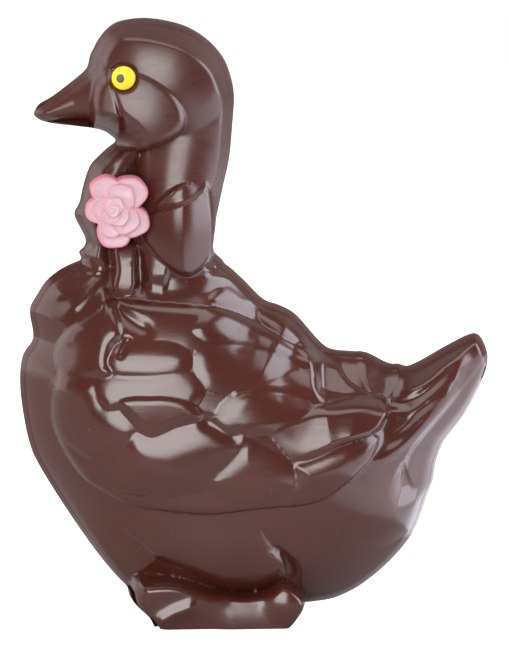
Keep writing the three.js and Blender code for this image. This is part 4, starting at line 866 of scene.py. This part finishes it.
def sugar_paste(name, first_colour, second_colour, grain_values, attribute=None):
    """Sugar paste that turns from one colour to the other in patches, or with an attribute of the mesh."""
    material = bpy.data.materials.new(name)
    material.use_nodes = True
    nodes, links = material.node_tree.nodes, material.node_tree.links
    shader = nodes["Principled BSDF"]
    shader.inputs["IOR"].default_value = 1.45
    grain = nodes.new("ShaderNodeGroup")
    grain.node_tree = sugar_grain
    for socket, value in grain_values.items():
        grain.inputs[socket].default_value = value
    mask = grain.outputs["Patches"]
    if attribute:
        painted = nodes.new("ShaderNodeAttribute")
        painted.attribute_name = attribute
        mask = painted.outputs["Fac"]
    tint = nodes.new("ShaderNodeMix")
    tint.data_type = "RGBA"
    tint.inputs["A"].default_value = first_colour
    tint.inputs["B"].default_value = second_colour
    links.new(mask, tint.inputs["Factor"])
    links.new(tint.outputs["Result"], shader.inputs["Base Color"])
    links.new(grain.outputs["Roughness"], shader.inputs["Roughness"])
    links.new(grain.outputs["Normal"], shader.inputs["Normal"])
    return material, shader


# the rose is deeper pink near its petals' lips, partly its own tint and partly painted shade
pink, pink_shader = sugar_paste("pink_sugar_paste", PALE_PINK, LIP_PINK_AND_SHADE, SOFT_GRAIN, attribute="lip_tint_and_shade")
pink_shader.inputs["Subsurface Weight"].default_value = 0.35
pink_shader.inputs["Subsurface Radius"].default_value = (1.0, 0.35, 0.3)
pink_shader.inputs["Subsurface Scale"].default_value = 0.0012
rose.data.materials.append(pink)
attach(rose, "root")
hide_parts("rose")

# ---------------------------------------------------------------------------------------------------
# Eyes: a yellow sugar lens in a shallow socket on each side of the head, with a small dark sugar dot
# pressed into its face a little towards the beak, and stuck with melted chocolate.
EYE_OUT, EYE_HALF, EYE_SLACK = 16.25, 1.75, 0.1  # from the seam plane, half thickness, room in the socket
PUPIL_X, PUPIL_Z, PUPIL_RADIUS = -40.3, 164.05, 1.35
PUPIL_OUT, PUPIL_HALF = 1.45, 0.42  # from the eye's middle, and half thickness
YELLOW, PALE_YELLOW = (0.74, 0.52, 0.006, 1), (0.84, 0.66, 0.03, 1)
DARK_GREY, PALE_GREY = (0.06, 0.075, 0.07, 1), (0.09, 0.105, 0.1, 1)
HARD_GRAIN = {
    "Patch Scale": 500, "Patch Detail": 4, "Grain Scale": 4000, "Grain Detail": 2, "Grain Height": 0.00001}


def sugar_lens(name, x, y, z, radius, half_thickness):
    """A flattened ball, modelled at its place, in millimetres."""
    bpy.ops.object.select_all(action="DESELECT")
    bpy.ops.mesh.primitive_uv_sphere_add(segments=64, ring_count=32, radius=MM, enter_editmode=True)
    bpy.ops.transform.resize(value=(radius, half_thickness, radius))
    bpy.ops.transform.translate(value=(MM * x, MM * y, MM * z))
    bpy.ops.object.mode_set(mode="OBJECT")
    bpy.ops.object.shade_smooth()
    bpy.context.object.name = name
    return bpy.context.object


yellow, _ = sugar_paste(
    "yellow_sugar", YELLOW, PALE_YELLOW, {**HARD_GRAIN, "Smoothest": 0.35, "Dullest": 0.55})
dark, _ = sugar_paste(
    "dark_sugar", DARK_GREY, PALE_GREY, {**HARD_GRAIN, "Smoothest": 0.4, "Dullest": 0.6})
for side, out in (("left", -1), ("right", 1)):
    eye = sugar_lens(f"yellow_eye_{side}", EYE_X, out * EYE_OUT, EYE_Z, EYE_RADIUS - EYE_SLACK, EYE_HALF)
    pupil_y = out * (EYE_OUT + PUPIL_OUT)
    pupil = sugar_lens(f"pupil_dot_{side}", PUPIL_X, pupil_y, PUPIL_Z, PUPIL_RADIUS, PUPIL_HALF)
    eye.data.materials.append(yellow)
    pupil.data.materials.append(dark)
    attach(eye, "root")
    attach(pupil, "root")
    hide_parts(f"eye_{side}")
    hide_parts(f"pupil_{side}")
